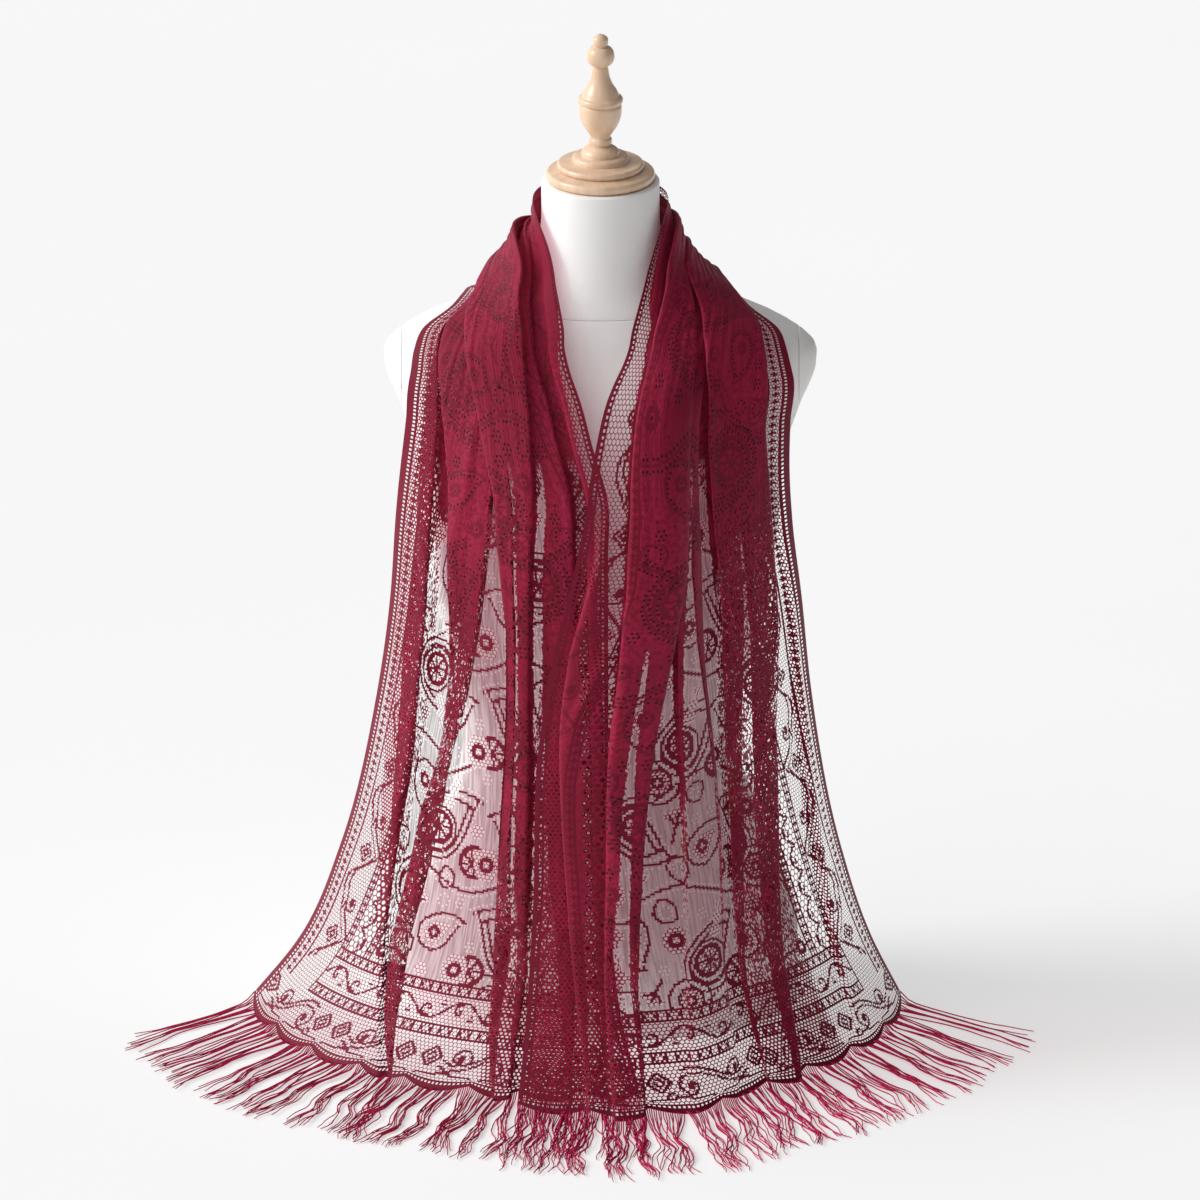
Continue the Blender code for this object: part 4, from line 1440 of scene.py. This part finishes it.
@dataclass(frozen=True)
class Finish:
    """What every finish has."""

    name: str
    slot: str

    def start(self) -> tuple[bpy.types.Material, Wiring, bpy.types.Node]:
        """Make the material.

        Returns:
            The material, the wiring of its nodes, and its shader.
        """
        material = bpy.data.materials.new(self.name)
        material.use_nodes = True
        return material, Wiring(material.node_tree), material.node_tree.nodes["Principled BSDF"]

    @staticmethod
    def complete(w: Wiring, shader: bpy.types.Node, colour: Value, relief: Value,
                 strength: float, distance: float, **others: Value) -> None:
        """Feed the shader.

        Args:
            w: Wiring of the material's nodes.
            shader: Its shader.
            colour: Base colour.
            relief: Height that the bump shows.
            strength: The bump's strength.
            distance: The bump's height in metres.
            others: Other inputs, with _ for a space; a plain number is set on the socket itself.
        """
        bump = w.fed("ShaderNodeBump", {"Strength": strength, "Distance": distance,
                                        "Height": relief})
        w.feed(shader.inputs, {"Base Color": colour, "Normal": bump})
        w.feed(shader.inputs, {name.replace("_", " "): value for name, value in others.items()})


@dataclass(frozen=True)
class LaceFinish(Finish):
    """Wine-red machine lace: sheer clothwork, net and solid thread."""

    light: Colour = (0.35, 0.009, 0.050, 1.0)
    deep: Colour = (0.23, 0.005, 0.029, 1.0)
    line: Colour = (0.15, 0.003, 0.018, 1.0)
    line_share: float = 0.85
    # painted shade: the near-black that holes and thin gaps take, standing in for the cloth's own
    # layers in shade behind them
    painted_hole_shade: Colour = (0.038, 0.001, 0.005, 1.0)
    net_cell: float = 0.0038
    net_thread: float = 0.105
    thread_pitch: float = 0.0017
    wide_cell: float = 0.0060
    close_thread: float = 0.29
    sheer_least: float = 0.18
    sheer_most: float = 0.50
    packed_most: float = 0.97
    sheer_packs: Span = (0.10, 0.45)
    net_packs: Span = (0.60, 0.85)
    # painted shade: over this span of closeness the holes close and show the painted dark shade
    # fully
    shade_filled: Span = (0.70, 0.80)
    let_through: float = 0.5
    passing: Colour = (1.0, 0.66, 0.74, 1.0)
    roughness: float = 0.62
    sheen: float = 0.14
    sheen_tint: Colour = (1.0, 0.45, 0.58, 1.0)
    bump: float = 0.5

    def material(self, effects: Effects) -> bpy.types.Material:
        """Build the material.

        Args:
            effects: The shared node groups.

        Returns:
            The material.
        """
        material, w, shader = self.start()
        place = w.node("ShaderNodeUVMap", uv_map="flat_cloth").outputs[0]
        kind, gather = w.attribute("lace_cell"), w.attribute("lace_close")
        is_solid, is_sheer, is_hole, is_wide = (
            w.math("COMPARE", kind, float(cell), 0.3)
            for cell in (Cell.SOLID, Cell.SHEER, Cell.HOLE, Cell.WIDE_NET))
        size = w.math("MULTIPLY_ADD", is_wide, self.wide_cell - self.net_cell, self.net_cell)
        thread = w.math("MULTIPLY_ADD", gather, self.close_thread - self.net_thread,
                        self.net_thread)
        net = w.group(effects.net, Place=place, Cell=size, Thread=thread)
        threads = w.group(effects.threads, Place=place, Pitch=self.thread_pitch, Packing=gather)
        tone = w.group(effects.tone, Place=place)
        flat_sheer = w.mix(threads["Thread"], self.sheer_least, self.sheer_most)
        packed = w.math("MULTIPLY", threads["Closed"], self.packed_most)
        sheer = w.mix(w.smooth(gather, *self.sheer_packs), flat_sheer, packed)
        packed_net = w.math("MULTIPLY", packed, w.smooth(gather, *self.net_packs))
        netting = w.math("MAXIMUM", net["Mask"], packed_net)
        knitted = w.math("MAXIMUM", w.mix(is_sheer, netting, sheer), is_solid)
        knitted = w.math("MULTIPLY", knitted, w.math("SUBTRACT", 1.0, is_hole))
        body = w.mix_colour(w.smooth(tone["Slow"], 0.3, 0.7), self.deep, self.light)
        fibre = w.mix_colour(w.smooth(tone["Quick"], 0.35, 0.65), body, self.deep)
        colour = w.mix_colour(w.math("MULTIPLY", is_solid, self.line_share), fibre, self.line)
        height = w.math("MAXIMUM", w.mix(is_sheer, net["Mask"], threads["Height"]),
                        w.math("MULTIPLY", is_solid, 1.3))
        # Painted shade: the colour darkens towards the dark shade where the knitting covers less,
        # and holes of closely packed cloth are closed and show it fully.
        colour = w.mix_colour(knitted, self.painted_hole_shade, colour)
        self.complete(w, shader, colour, height, self.bump, 0.0003,
                      Alpha=w.math("MAXIMUM", knitted, w.smooth(gather, *self.shade_filled)),
                      Roughness=self.roughness, Sheen_Weight=self.sheen, Sheen_Roughness=0.4,
                      Sheen_Tint=self.sheen_tint, Specular_IOR_Level=0.18)
        path = w.node("ShaderNodeLightPath").outputs
        indirect = w.math("MAXIMUM", path["Is Shadow Ray"], path["Is Diffuse Ray"])
        through = w.math("MULTIPLY", indirect, self.let_through)
        passing = w.fed("ShaderNodeBsdfTransparent", {0: self.passing})
        thin = w.fed("ShaderNodeMixShader", {0: through, 1: shader.outputs[0], 2: passing})
        w.feed(material.node_tree.nodes["Material Output"].inputs, {0: thin})
        return material


@dataclass(frozen=True)
class ThreadFinish(Finish):
    """Wine-red twisted fringe thread."""

    light: Colour = (0.62, 0.018, 0.115, 1.0)
    deep: Colour = (0.38, 0.010, 0.062, 1.0)
    twist: float = 3000.0

    def material(self, effects: Effects) -> bpy.types.Material:
        """Build the material.

        Args:
            effects: The shared node groups.

        Returns:
            The material.
        """
        material, w, shader = self.start()
        place = w.object_place()
        tone = w.group(effects.tone, Place=place)
        colour = w.mix_colour(w.smooth(tone["Quick"], 0.3, 0.7), self.deep, self.light)
        x, y, z = w.split(place)[:3]
        slant = w.math("ADD", x, w.math("ADD", y, z))
        ply = w.math("SINE", w.math("MULTIPLY", slant, self.twist))
        self.complete(w, shader, colour, ply, 0.4, 0.0002, Roughness=0.6, Specular_IOR_Level=0.2)
        return material


@dataclass(frozen=True)
class CanvasFinish(Finish):
    """White cover of the dress form, stretched smooth."""

    light: Colour = (0.93, 0.915, 0.905, 1.0)
    shade: Colour = (0.87, 0.855, 0.84, 1.0)
    pitch: float = 0.0012

    def material(self, effects: Effects) -> bpy.types.Material:
        """Build the material.

        Args:
            effects: The shared node groups.

        Returns:
            The material.
        """
        material, w, shader = self.start()
        place = w.object_place()
        height = w.group(effects.weave, Place=place, Pitch=self.pitch)["Height"]
        tone = w.group(effects.tone, Place=place)
        colour = w.mix_colour(w.smooth(height, 0.1, 0.9), self.shade, self.light)
        colour = w.mix_colour(w.smooth(tone["Slow"], 0.2, 0.8, 0.0, 0.3), colour, self.shade)
        self.complete(w, shader, colour, height, 0.35, 0.0004, Roughness=0.85,
                      Specular_IOR_Level=0.25)
        return material


@dataclass(frozen=True)
class WoodFinish(Finish):
    """Pale turned wood under a satin lacquer."""

    light: Colour = (0.78, 0.555, 0.39, 1.0)
    dark: Colour = (0.68, 0.46, 0.305, 1.0)

    def material(self, effects: Effects) -> bpy.types.Material:
        """Build the material.

        Args:
            effects: The shared node groups.

        Returns:
            The material.
        """
        material, w, shader = self.start()
        wood = w.group(effects.grain, Place=w.object_place())
        grain, pores = wood["Grain"], wood["Pores"]
        colour = w.mix_colour(w.smooth(grain, 0.3, 0.7), self.light, self.dark)
        colour = w.mix_colour(w.smooth(pores, 0.55, 0.75, 0.0, 0.35), colour, self.dark)
        self.complete(w, shader, colour, pores, 0.08, 0.0003, Coat_Weight=0.35, Coat_Roughness=0.18,
                      Roughness=w.smooth(grain, 0.2, 0.8, 0.32, 0.42))
        return material


# ---------------------------------------------------------------- pieces
def add_piece(name: str, mesh: bpy.types.Mesh, material: bpy.types.Material,
              replaced: str) -> bpy.types.Object:
    """Make a piece of the part, riding on its body.

    Args:
        name: Name of the piece.
        mesh: Its mesh, in the row frame.
        material: Its finish.
        replaced: The solid that it stands for.

    Returns:
        The object.
    """
    mesh.materials.append(material)
    mesh.shade_smooth()
    piece = bpy.data.objects.new(name, mesh)
    bpy.context.scene.collection.objects.link(piece)
    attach(piece, BODY)
    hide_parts(replaced)
    LOG.info("%s: %d faces", name, len(mesh.polygons))
    return piece


def quads_mesh(name: str, points: np.ndarray, quads: np.ndarray) -> bpy.types.Mesh:
    """Mesh of four-sided faces.

    Args:
        name: Name of the mesh.
        points: Its vertices.
        quads: Four vertex numbers a row.

    Returns:
        The mesh.
    """
    mesh = bpy.data.meshes.new(name)
    mesh.vertices.add(len(points))
    mesh.vertices.foreach_set("co", points.astype(np.float32).ravel())
    mesh.loops.add(quads.size)
    mesh.loops.foreach_set("vertex_index", quads.astype(np.int32).ravel())
    mesh.polygons.add(len(quads))
    mesh.polygons.foreach_set("loop_start", np.arange(0, quads.size, 4, dtype=np.int32))
    mesh.update(calc_edges=True)
    return mesh


def ringed(rings: Sequence[Sequence[Sequence[float]]],
           clockwise: bool = False) -> bmesh.types.BMesh:
    """Closed mesh through rings of points.

    Args:
        rings: Rings from the bottom up, each with as many points.
        clockwise: Whether they run clockwise as seen from above.

    Returns:
        The mesh, with a face across its first and its last ring.
    """
    bm = bmesh.new()
    made = [[bm.verts.new(point) for point in ring] for ring in rings]
    for lower, upper in zip(made, made[1:]):
        for k in range(len(lower)):
            n = (k + 1) % len(lower)
            corners = (lower[k], lower[n], upper[n], upper[k])
            bm.faces.new([corners[c] for c in ((0, 3, 2, 1) if clockwise else (0, 1, 2, 3))])
    step = 1 if clockwise else -1
    bm.faces.new(made[0][::step])
    bm.faces.new(made[-1][::-step])
    return bm


def add_solid(name: str, bm: bmesh.types.BMesh, material: bpy.types.Material,
              replaced: str) -> None:
    """Make a piece from a closed mesh, with its sharp edges kept.

    Args:
        name: Name of the piece.
        bm: The mesh, which is used up.
        material: Its finish.
        replaced: The solid that it stands for.
    """
    mesh = bpy.data.meshes.new(name)
    bm.to_mesh(mesh)
    bm.free()
    add_piece(name, mesh, material, replaced)
    mesh.set_sharp_from_angle(angle=SHARP_FROM)


@dataclass(frozen=True)
class Patch:
    """A stretch of knitted cloth, row by row.

    Points and closeness are given at the corners of its cells, and so is the distance of each row
    of corners from the hem.
    """

    points: np.ndarray
    close: np.ndarray
    cells: np.ndarray
    along: np.ndarray


@dataclass
class Shawl:
    """The cloth: two front stretches and the one round the back of the neck."""

    cloth: DrapedCloth
    chart: LaceChart
    finish: LaceFinish
    seam_row: int = 376
    # painted shade: holes where the cloth is packed closer than this are kept as faces in the dark
    # shade
    shade_filled_from: float = 0.72
    halves: dict[int, Patch] = field(default_factory=dict)

    def half(self, side: int) -> Patch:
        """Half of the cloth, from its hem to the middle of the back.

        Args:
            side: -1 for the left half and 1 for the right.

        Returns:
            The half, worked out once.
        """
        if side not in self.halves:
            along = np.linspace(0, self.cloth.half_length, self.chart.rows + 1)
            across = self.chart.across(self.cloth.width)
            sections = [self.cloth.joined(side, float(at), across) for at in along]
            rows = self.cloth.scalloped(np.array([points for points, _ in sections]), along[1])
            grid = self.cloth.gathered(side, rows, along, across)
            grid[-1, :, 0] = 0.0
            close = np.array([close for _, close in sections])
            self.halves[side] = Patch(grid, close, self.chart.cells, along)
        return self.halves[side]

    def stretch(self, name: str, patch: Patch, flip: bool, material: bpy.types.Material,
                fringe: Sequence[bpy.types.Object]) -> None:
        """Build one stretch of lace.

        Args:
            name: Which stretch it is, as the names of its piece and its solid say.
            patch: Its points and cells.
            flip: Whether the faces are turned over.
            material: The lace.
            fringe: The fringe that hangs on it. It is not used.
        """
        rows, columns = patch.cells.shape
        # Holes where the cloth is packed closely are kept as faces, which the lace paints in a dark
        # shade standing in for the layers behind.
        shade_filled = (patch.close[1:, 1:] + patch.close[:-1, :-1]) / 2 > self.shade_filled_from
        r, c = np.nonzero((patch.cells != Cell.HOLE) | shade_filled)
        first = r * (columns + 1) + c
        corners = [first, first + 1, first + columns + 2, first + columns + 1]
        quads = np.stack(corners[::-1] if flip else corners, axis=1)
        used, quads = np.unique(quads, return_inverse=True)
        quads = quads.reshape(-1, 4)
        mesh = quads_mesh("lace_" + name, patch.points.reshape(-1, 3)[used], quads)
        across = self.chart.across(self.cloth.width)
        flat = np.stack([np.tile(across, rows + 1), np.repeat(patch.along, columns + 1)], axis=1)
        flat = flat[used]
        layer = mesh.uv_layers.new(name="flat_cloth")
        layer.data.foreach_set("uv", flat[quads.ravel()].astype(np.float32).ravel())
        for label, domain, values in (("lace_close", "POINT", patch.close.ravel()[used]),
                                      ("lace_cell", "FACE", patch.cells[r, c])):
            data = mesh.attributes.new(label, "FLOAT", domain).data
            data.foreach_set("value", values.astype(np.float32))
        piece = add_piece("lace_" + name, mesh, material, "cloth_" + name)

    def build(self, effects: Effects, fringes: dict[int, bpy.types.Object]) -> None:
        """Build the three stretches.

        Args:
            effects: The shared node groups.
            fringes: The fringe of each end.
        """
        material = self.finish.material(effects)
        seam = self.seam_row
        for side, name in SIDES.items():
            half = self.half(side)
            front = Patch(half.points[:seam + 1], half.close[:seam + 1], half.cells[:seam],
                          half.along[:seam + 1])
            self.stretch(name, front, side > 0, material, [fringes[side]])
        left, right = self.half(-1), self.half(1)
        points, close, along = (np.concatenate([one[seam:], other[seam:-1][::-1]])
                                for one, other in ((left.points, right.points),
                                                   (left.close, right.close),
                                                   (left.along, right.along)))
        cells = np.concatenate([left.cells[seam:], right.cells[seam:][::-1]])
        self.stretch("back", Patch(points, close, cells, along), False, material, [])


@dataclass
class Fringe:
    """Fringe of one end: fine wavy strands that lie in locks on the table."""

    side: int
    shawl: Shawl
    finish: ThreadFinish
    strands: int = 230
    lock: int = 9
    length: float = 0.140
    radius: float = 0.00062
    points_each: int = 18
    side_heading: float = 38.0
    edge_gap: float = 0.0006
    crowding: float = 0.78
    layer: float = 0.0007
    uneven: Span = (0.90, 1.04)
    lock_turn: float = 0.045
    strand_turn: float = 0.018
    pulls: Span = (0.4, 1.1)
    seed: int = 40
    waves: tuple[tuple[float, float], ...] = ((0.075, 0.0028), (0.033, 0.0011), (0.15, 0.0040))

    def line(self, number: int, root: np.ndarray, way: np.ndarray, random: np.random.Generator,
             pull: np.ndarray, phases: np.ndarray) -> np.ndarray:
        """Middle line of one strand.

        Args:
            number: The strand's number from the outer edge.
            root: Where it leaves the hem.
            way: Level direction in which it runs.
            random: Source of its waviness.
            pull: Sideways shift that draws it to its lock.
            phases: Where the waves of its lock begin.

        Returns:
            Points from the root to the end.
        """
        length = self.length * random.uniform(*self.uneven)
        share = np.linspace(0, 1, self.points_each)
        beside = np.array([-way[1], way[0], 0.0])
        sway = np.zeros(self.points_each)
        for phase, (wavelength, height) in zip(phases, self.waves):
            start = phase + random.normal(0, 0.6)
            sway += height * (np.sin(TURN * share * length / wavelength + start) - math.sin(start))
        loose = 0.25 + 0.75 * float(ease(-self.side * way[0], -0.85, -0.35))
        sway *= ease(share, 0.0, 0.7) * length / self.length * loose
        drawn = np.sin(math.pi * np.clip(share * 0.9, 0, 1)) * 0.8
        line = root + np.outer(share * length, way) + np.outer(sway, beside)
        line += drawn[:, None] * pull * (length / self.length)
        rest = self.radius + 0.0001 + self.layer * (number % 4) * (1 - 0.5 * share)
        falling = root[2] * (1 - ease(share * length, 0.0, 0.012)) + self.radius * 0.6
        line[:, 2] = np.maximum(rest, falling)
        return line

    def tube(self, line: np.ndarray) -> tuple[np.ndarray, np.ndarray]:
        """Three-sided tube round a line.

        Args:
            line: Its middle line.

        Returns:
            Its vertices and its four-sided faces.
        """
        count = len(line)
        along = np.gradient(line, axis=0)
        along /= np.linalg.norm(along, axis=1, keepdims=True)
        beside = np.stack([-along[:, 1], along[:, 0], np.zeros(count)], axis=1)
        beside /= np.linalg.norm(beside, axis=1, keepdims=True)
        above = np.cross(along, beside)
        size = self.radius * (1 - 0.35 * np.linspace(0, 1, count) ** 3)
        rings = np.stack([line + size[:, None] * (beside * math.cos(a) + above * math.sin(a))
                          for a in (-math.pi / 6, math.pi / 2, math.pi * 7 / 6)], axis=1)
        k = np.arange(count - 1)[:, None] * 3
        quads = np.concatenate([np.concatenate([k + a, k + b, k + 3 + b, k + 3 + a], axis=1)
                                for a, b in ((0, 1), (1, 2), (2, 0))])
        return rings.reshape(-1, 3), quads

    def build(self, effects: Effects, name: str, replaced: str) -> bpy.types.Object:
        """Build the fringe.

        Args:
            effects: The shared node groups.
            name: Name of the piece.
            replaced: The solid that it stands for.

        Returns:
            The piece.
        """
        random = np.random.default_rng(self.seed + self.side)
        hem = self.shawl.half(self.side).points[0]
        run = lengths(hem)
        places = np.linspace(0, 1, self.strands) ** self.crowding
        marks = self.edge_gap + (run[-1] - 2 * self.edge_gap) * places
        roots = np.stack([np.interp(marks, run, hem[:, axis]) for axis in range(3)], axis=1)
        points, faces, total = [], [], 0
        lock_way, lock_middle, phases = 0.0, roots[0], np.zeros(3)
        for number, root in enumerate(roots):
            if number % self.lock == 0:
                lock_way = random.normal(0, self.lock_turn)
                phases = random.uniform(0, TURN, 3)
                lock_middle = roots[min(number + self.lock // 2, self.strands - 1)]
            round_form = math.degrees(math.atan2(-root[1], self.side * root[0]))
            heading = math.radians(self.side_heading + round_form * (90 - self.side_heading) / 90)
            heading += lock_way + random.normal(0, self.strand_turn)
            way = np.array([self.side * math.cos(heading), -math.sin(heading), 0.0])
            pull = (lock_middle - root) * [1, 1, 0] * random.uniform(*self.pulls)
            made, quads = self.tube(self.line(number, root, way, random, pull, phases))
            points.append(made)
            faces.append(quads + total)
            total += len(made)
        mesh = quads_mesh(name, np.concatenate(points), np.concatenate(faces))
        return add_piece(name, mesh, self.finish.material(effects), replaced)


@dataclass
class DressForm:
    """The limbless form: torso, neck and the two arm plates, in a stretched white cover."""

    finish: CanvasFinish
    segments: int = 128
    torso_heights: Span = (0.0, 0.690)
    neck_heights: Span = (0.600, 0.738)
    plate_heights: Span = (0.500, 0.640)
    seam_height: float = 0.640
    seam_slope: float = 0.16
    plate_plane: float = 0.168
    gap: float = 0.0003
    seam_depth: float = 0.0007
    rim: float = 0.0018
    level_step: float = 0.006

    def loft(self, low: float, high: float, rim: float = 0.0) -> bmesh.types.BMesh:
        """Closed loft of the form between two heights.

        Args:
            low: Lower height.
            high: Upper height.
            rim: Radius of the rounding of the upper edge.

        Returns:
            The mesh.
        """
        heights = np.linspace(low, high - rim, max(3, math.ceil((high - low) / self.level_step)))
        turns = np.arange(self.segments) * TURN / self.segments
        rings = [FORM.point(1, turns, np.full(self.segments, height)) for height in heights]
        for k in range(1, 5 if rim else 1):
            angle = k * math.pi / 8
            ring = FORM.point(1, turns, np.full(self.segments, high - rim + rim * math.sin(angle)))
            size = np.linalg.norm(ring[:, :2], axis=1, keepdims=True)
            ring[:, :2] *= 1 - rim * (1 - math.cos(angle)) / size
            rings.append(ring)
        return ringed(rings, clockwise=True)

    @staticmethod
    def keep_side(bm: bmesh.types.BMesh, point: Sequence[float], normal: Sequence[float],
                  round_off: float) -> None:
        """Cut a closed mesh by a plane, keep the side away from the normal and round its edge.

        Args:
            bm: The mesh.
            point: A point of the plane.
            normal: The plane's direction.
            round_off: Width of the rounding.
        """
        everything = bm.verts[:] + bm.edges[:] + bm.faces[:]
        cut = bmesh.ops.bisect_plane(bm, geom=everything, dist=1e-6, plane_co=point,
                                     plane_no=normal, clear_outer=True)
        edges = [item for item in cut["geom_cut"] if isinstance(item, bmesh.types.BMEdge)]
        cap = bmesh.ops.contextual_create(bm, geom=edges)["faces"]
        ring = list(dict.fromkeys(edge for face in cap for edge in face.edges))
        bmesh.ops.bevel(bm, geom=ring, offset=round_off, segments=3, affect="EDGES", profile=0.5)

    def build(self, effects: Effects) -> None:
        """Build the four pieces of the form.

        Args:
            effects: The shared node groups.
        """
        material = self.finish.material(effects)
        seam = Vector((0, 0, self.seam_height))
        tilt = Vector((0, -self.seam_slope, 1)).normalized()
        torso = self.loft(*self.torso_heights)
        self.keep_side(torso, seam, tilt, self.seam_depth)
        for side in SIDES:
            self.keep_side(torso, (side * self.plate_plane, 0, 0), (side, 0, 0), self.seam_depth)
        neck = self.loft(*self.neck_heights, self.rim)
        self.keep_side(neck, seam + tilt * self.gap, -tilt, self.seam_depth)
        pieces = {"torso": torso, "neck": neck}
        for side, name in SIDES.items():
            plate = self.loft(*self.plate_heights)
            inner = side * (self.plate_plane + self.gap)
            self.keep_side(plate, (inner, 0, 0), (-side, 0, 0), self.seam_depth)
            pieces["plate_" + name] = plate
        for name, bm in pieces.items():
            add_solid("cover_" + name, bm, material, "form_" + name)


@dataclass
class TurnedWood:
    """Stepped cap and urn-shaped finial, turned from pale wood."""

    finish: WoodFinish
    segments: int = 96
    foot: float = 0.7383
    steps: int = 12

    def bead(self, low: float, high: float, root: float, swell: float) -> list[tuple[float, float]]:
        """Outline of a rounded bead.

        Args:
            low: Its lower height.
            high: Its upper height.
            root: Radius where it springs.
            swell: How far it stands out from there.

        Returns:
            Heights and radii.
        """
        turns = np.linspace(-math.pi / 2, math.pi / 2, self.steps + 1)
        return [((low + high) / 2 + (high - low) / 2 * math.sin(t), root + swell * math.cos(t))
                for t in turns]

    @staticmethod
    def curve(*points: tuple[float, float]) -> list[tuple[float, float]]:
        """Smooth outline through points.

        Args:
            points: Their heights and radii.

        Returns:
            Heights and radii.
        """
        table = SmoothTable("height radius", *points)
        heights = np.linspace(points[0][0], points[-1][0], 6 * len(points))
        return [(float(h), float(table.read("radius", h))) for h in heights]

    def build(self, effects: Effects) -> None:
        """Build the cap and the finial.

        Args:
            effects: The shared node groups.
        """
        cap = [(self.foot, 0.0445)] + self.bead(self.foot + 0.0004, 0.7465, 0.0435, 0.0027)
        cap += [(0.7475, 0.0395)] + self.bead(0.7485, 0.7540, 0.0345, 0.0023)
        cap += [(0.7545, 0.0285), (0.7555, 0.0240), (0.7590, 0.0236), (0.7600, 0.0225)]
        cap += self.curve((0.7605, 0.0168), (0.7650, 0.0150), (0.7690, 0.0096))
        finial = [(0.7693, 0.0092)] + self.bead(0.7700, 0.7760, 0.0086, 0.0013)
        finial += self.curve((0.7775, 0.0085), (0.7830, 0.0122), (0.7900, 0.0160), (0.7970, 0.0178),
                             (0.8040, 0.0181))
        finial += self.bead(0.8062, 0.8125, 0.0168, 0.0024)
        finial += self.curve((0.8140, 0.0158), (0.8175, 0.0142), (0.8235, 0.0105), (0.8300, 0.0080),
                             (0.8380, 0.0066))
        finial += self.bead(0.8402, 0.8570, 0.0060, 0.0060)
        finial += self.curve((0.8575, 0.0058), (0.8615, 0.0066), (0.8655, 0.0055), (0.8675, 0.0025))
        material = self.finish.material(effects)
        turns = [k * TURN / self.segments for k in range(self.segments)]
        for name, outline in (("cap", cap), ("finial", finial)):
            bm = ringed([[(radius * math.cos(t), radius * math.sin(t), height) for t in turns]
                         for height, radius in outline])
            add_solid("turned_" + name, bm, material, "wood_" + name)


# ---------------------------------------------------------------- studio
@dataclass
class Studio:
    """Pale floor, soft light and the camera."""

    elevation: float = 20.0
    distance: float = 30.0
    frame_width: float = 1.02
    aim: tuple[float, float, float] = (-0.0004, 0.0, 0.3591)
    floor_size: float = 30.0
    left_sky: float = 1.35
    right_sky: float = 0.12
    low_sky: float = 0.85
    high_sky: float = 1.15
    key_place: tuple[float, float, float] = (-3.5, -0.25, 2.5)
    key_strength: float = 2.0
    key_spread: float = 26.0
    floor_glow: float = 0.458
    floor_drop: float = 0.0004
    floor_tones: Span = (0.52, 0.53)

    @staticmethod
    def place(name: str, data: bpy.types.ID) -> bpy.types.Object:
        """Add an object of the studio.

        Args:
            name: Its name.
            data: Its camera, light or mesh.

        Returns:
            The object.
        """
        made = bpy.data.objects.new(name, data)
        bpy.context.scene.collection.objects.link(made)
        return made

    def camera(self) -> None:
        """Set up a long lens that looks down on the middle of the part."""
        data = bpy.data.cameras.new("camera")
        data.sensor_width = 36.0
        data.lens = data.sensor_width * self.distance / self.frame_width
        data.clip_start, data.clip_end = 1.0, 100.0
        camera = self.place("camera", data)
        tilt = math.radians(self.elevation)
        back = Vector((0.0, -math.cos(tilt), math.sin(tilt)))
        camera.location = Vector(self.aim) + back * self.distance
        camera.rotation_euler = (math.radians(90 - self.elevation), 0.0, 0.0)
        bpy.context.scene.camera = camera

    def key(self) -> None:
        """Add a broad soft light, aimed at the middle of the form."""
        data = bpy.data.lights.new("key", "SUN")
        data.energy, data.angle = self.key_strength, math.radians(self.key_spread)
        lamp = self.place("key", data)
        lamp.location = self.key_place
        lamp.rotation_mode = "QUATERNION"
        lamp.rotation_quaternion = (Vector(self.aim) - lamp.location).to_track_quat("-Z", "Y")

    def floor(self) -> None:
        """Add a plain pale floor."""
        half = self.floor_size / 2
        corners = [(-half, -half, 0), (half, -half, 0), (half, half, 0), (-half, half, 0)]
        mesh = bpy.data.meshes.new("floor")
        mesh.from_pydata(corners, [], [(0, 1, 2, 3)])
        material = bpy.data.materials.new("pale_floor")
        material.use_nodes = True
        w = Wiring(material.node_tree)
        tone = w.smooth(w.noise(w.object_place(), 1.5), 0.3, 0.7)
        colour = w.mix_colour(tone, *((grey, grey, grey, 1.0) for grey in self.floor_tones))
        inputs = material.node_tree.nodes["Principled BSDF"].inputs
        w.feed(inputs, {"Base Color": colour, "Emission Color": (1.0, 1.0, 1.0, 1.0),
                        "Emission Strength": self.floor_glow, "Roughness": 0.9,
                        "Specular IOR Level": 0.0})
        mesh.materials.append(material)
        floor = self.place("floor", mesh)
        floor.location = (0, 0, -self.floor_drop)

    def build(self) -> None:
        """Set up the sky, the light, the floor and the camera."""
        world = bpy.data.worlds.new("studio")
        world.use_nodes = True
        w = Wiring(world.node_tree)
        background = world.node_tree.nodes["Background"]
        x, _, z = w.split(w.node("ShaderNodeTexCoord").outputs["Generated"])[:3]
        across = w.smooth(x, -1.0, 0.4, self.left_sky, self.right_sky)
        height = w.smooth(z, 0.0, 0.7, self.low_sky, self.high_sky)
        w.feed(background.inputs, {"Color": (1.0, 1.0, 1.0, 1.0),
                                   "Strength": w.math("MULTIPLY", across, height)})
        bpy.context.scene.world = world
        bpy.context.scene.view_settings.view_transform = "Standard"
        self.key()
        self.floor()
        self.camera()


def main() -> None:
    """Build every piece, then the studio."""
    logging.basicConfig(level=logging.INFO, format="%(name)s: %(message)s")
    effects = Effects()
    shawl = Shawl(DrapedCloth(), LaceChart(), LaceFinish("wine_lace", "lace"))
    fringes = {}
    for side, name in SIDES.items():
        fringe = Fringe(side, shawl, ThreadFinish("fringe_thread_" + name, "fringe"))
        fringes[side] = fringe.build(effects, "fringe_threads_" + name, "fringe_" + name)
    shawl.build(effects, fringes)
    DressForm(CanvasFinish("white_canvas", "canvas")).build(effects)
    TurnedWood(WoodFinish("pale_wood", "wood")).build(effects)
    Studio().build()


if __name__ == "__main__":
    main()
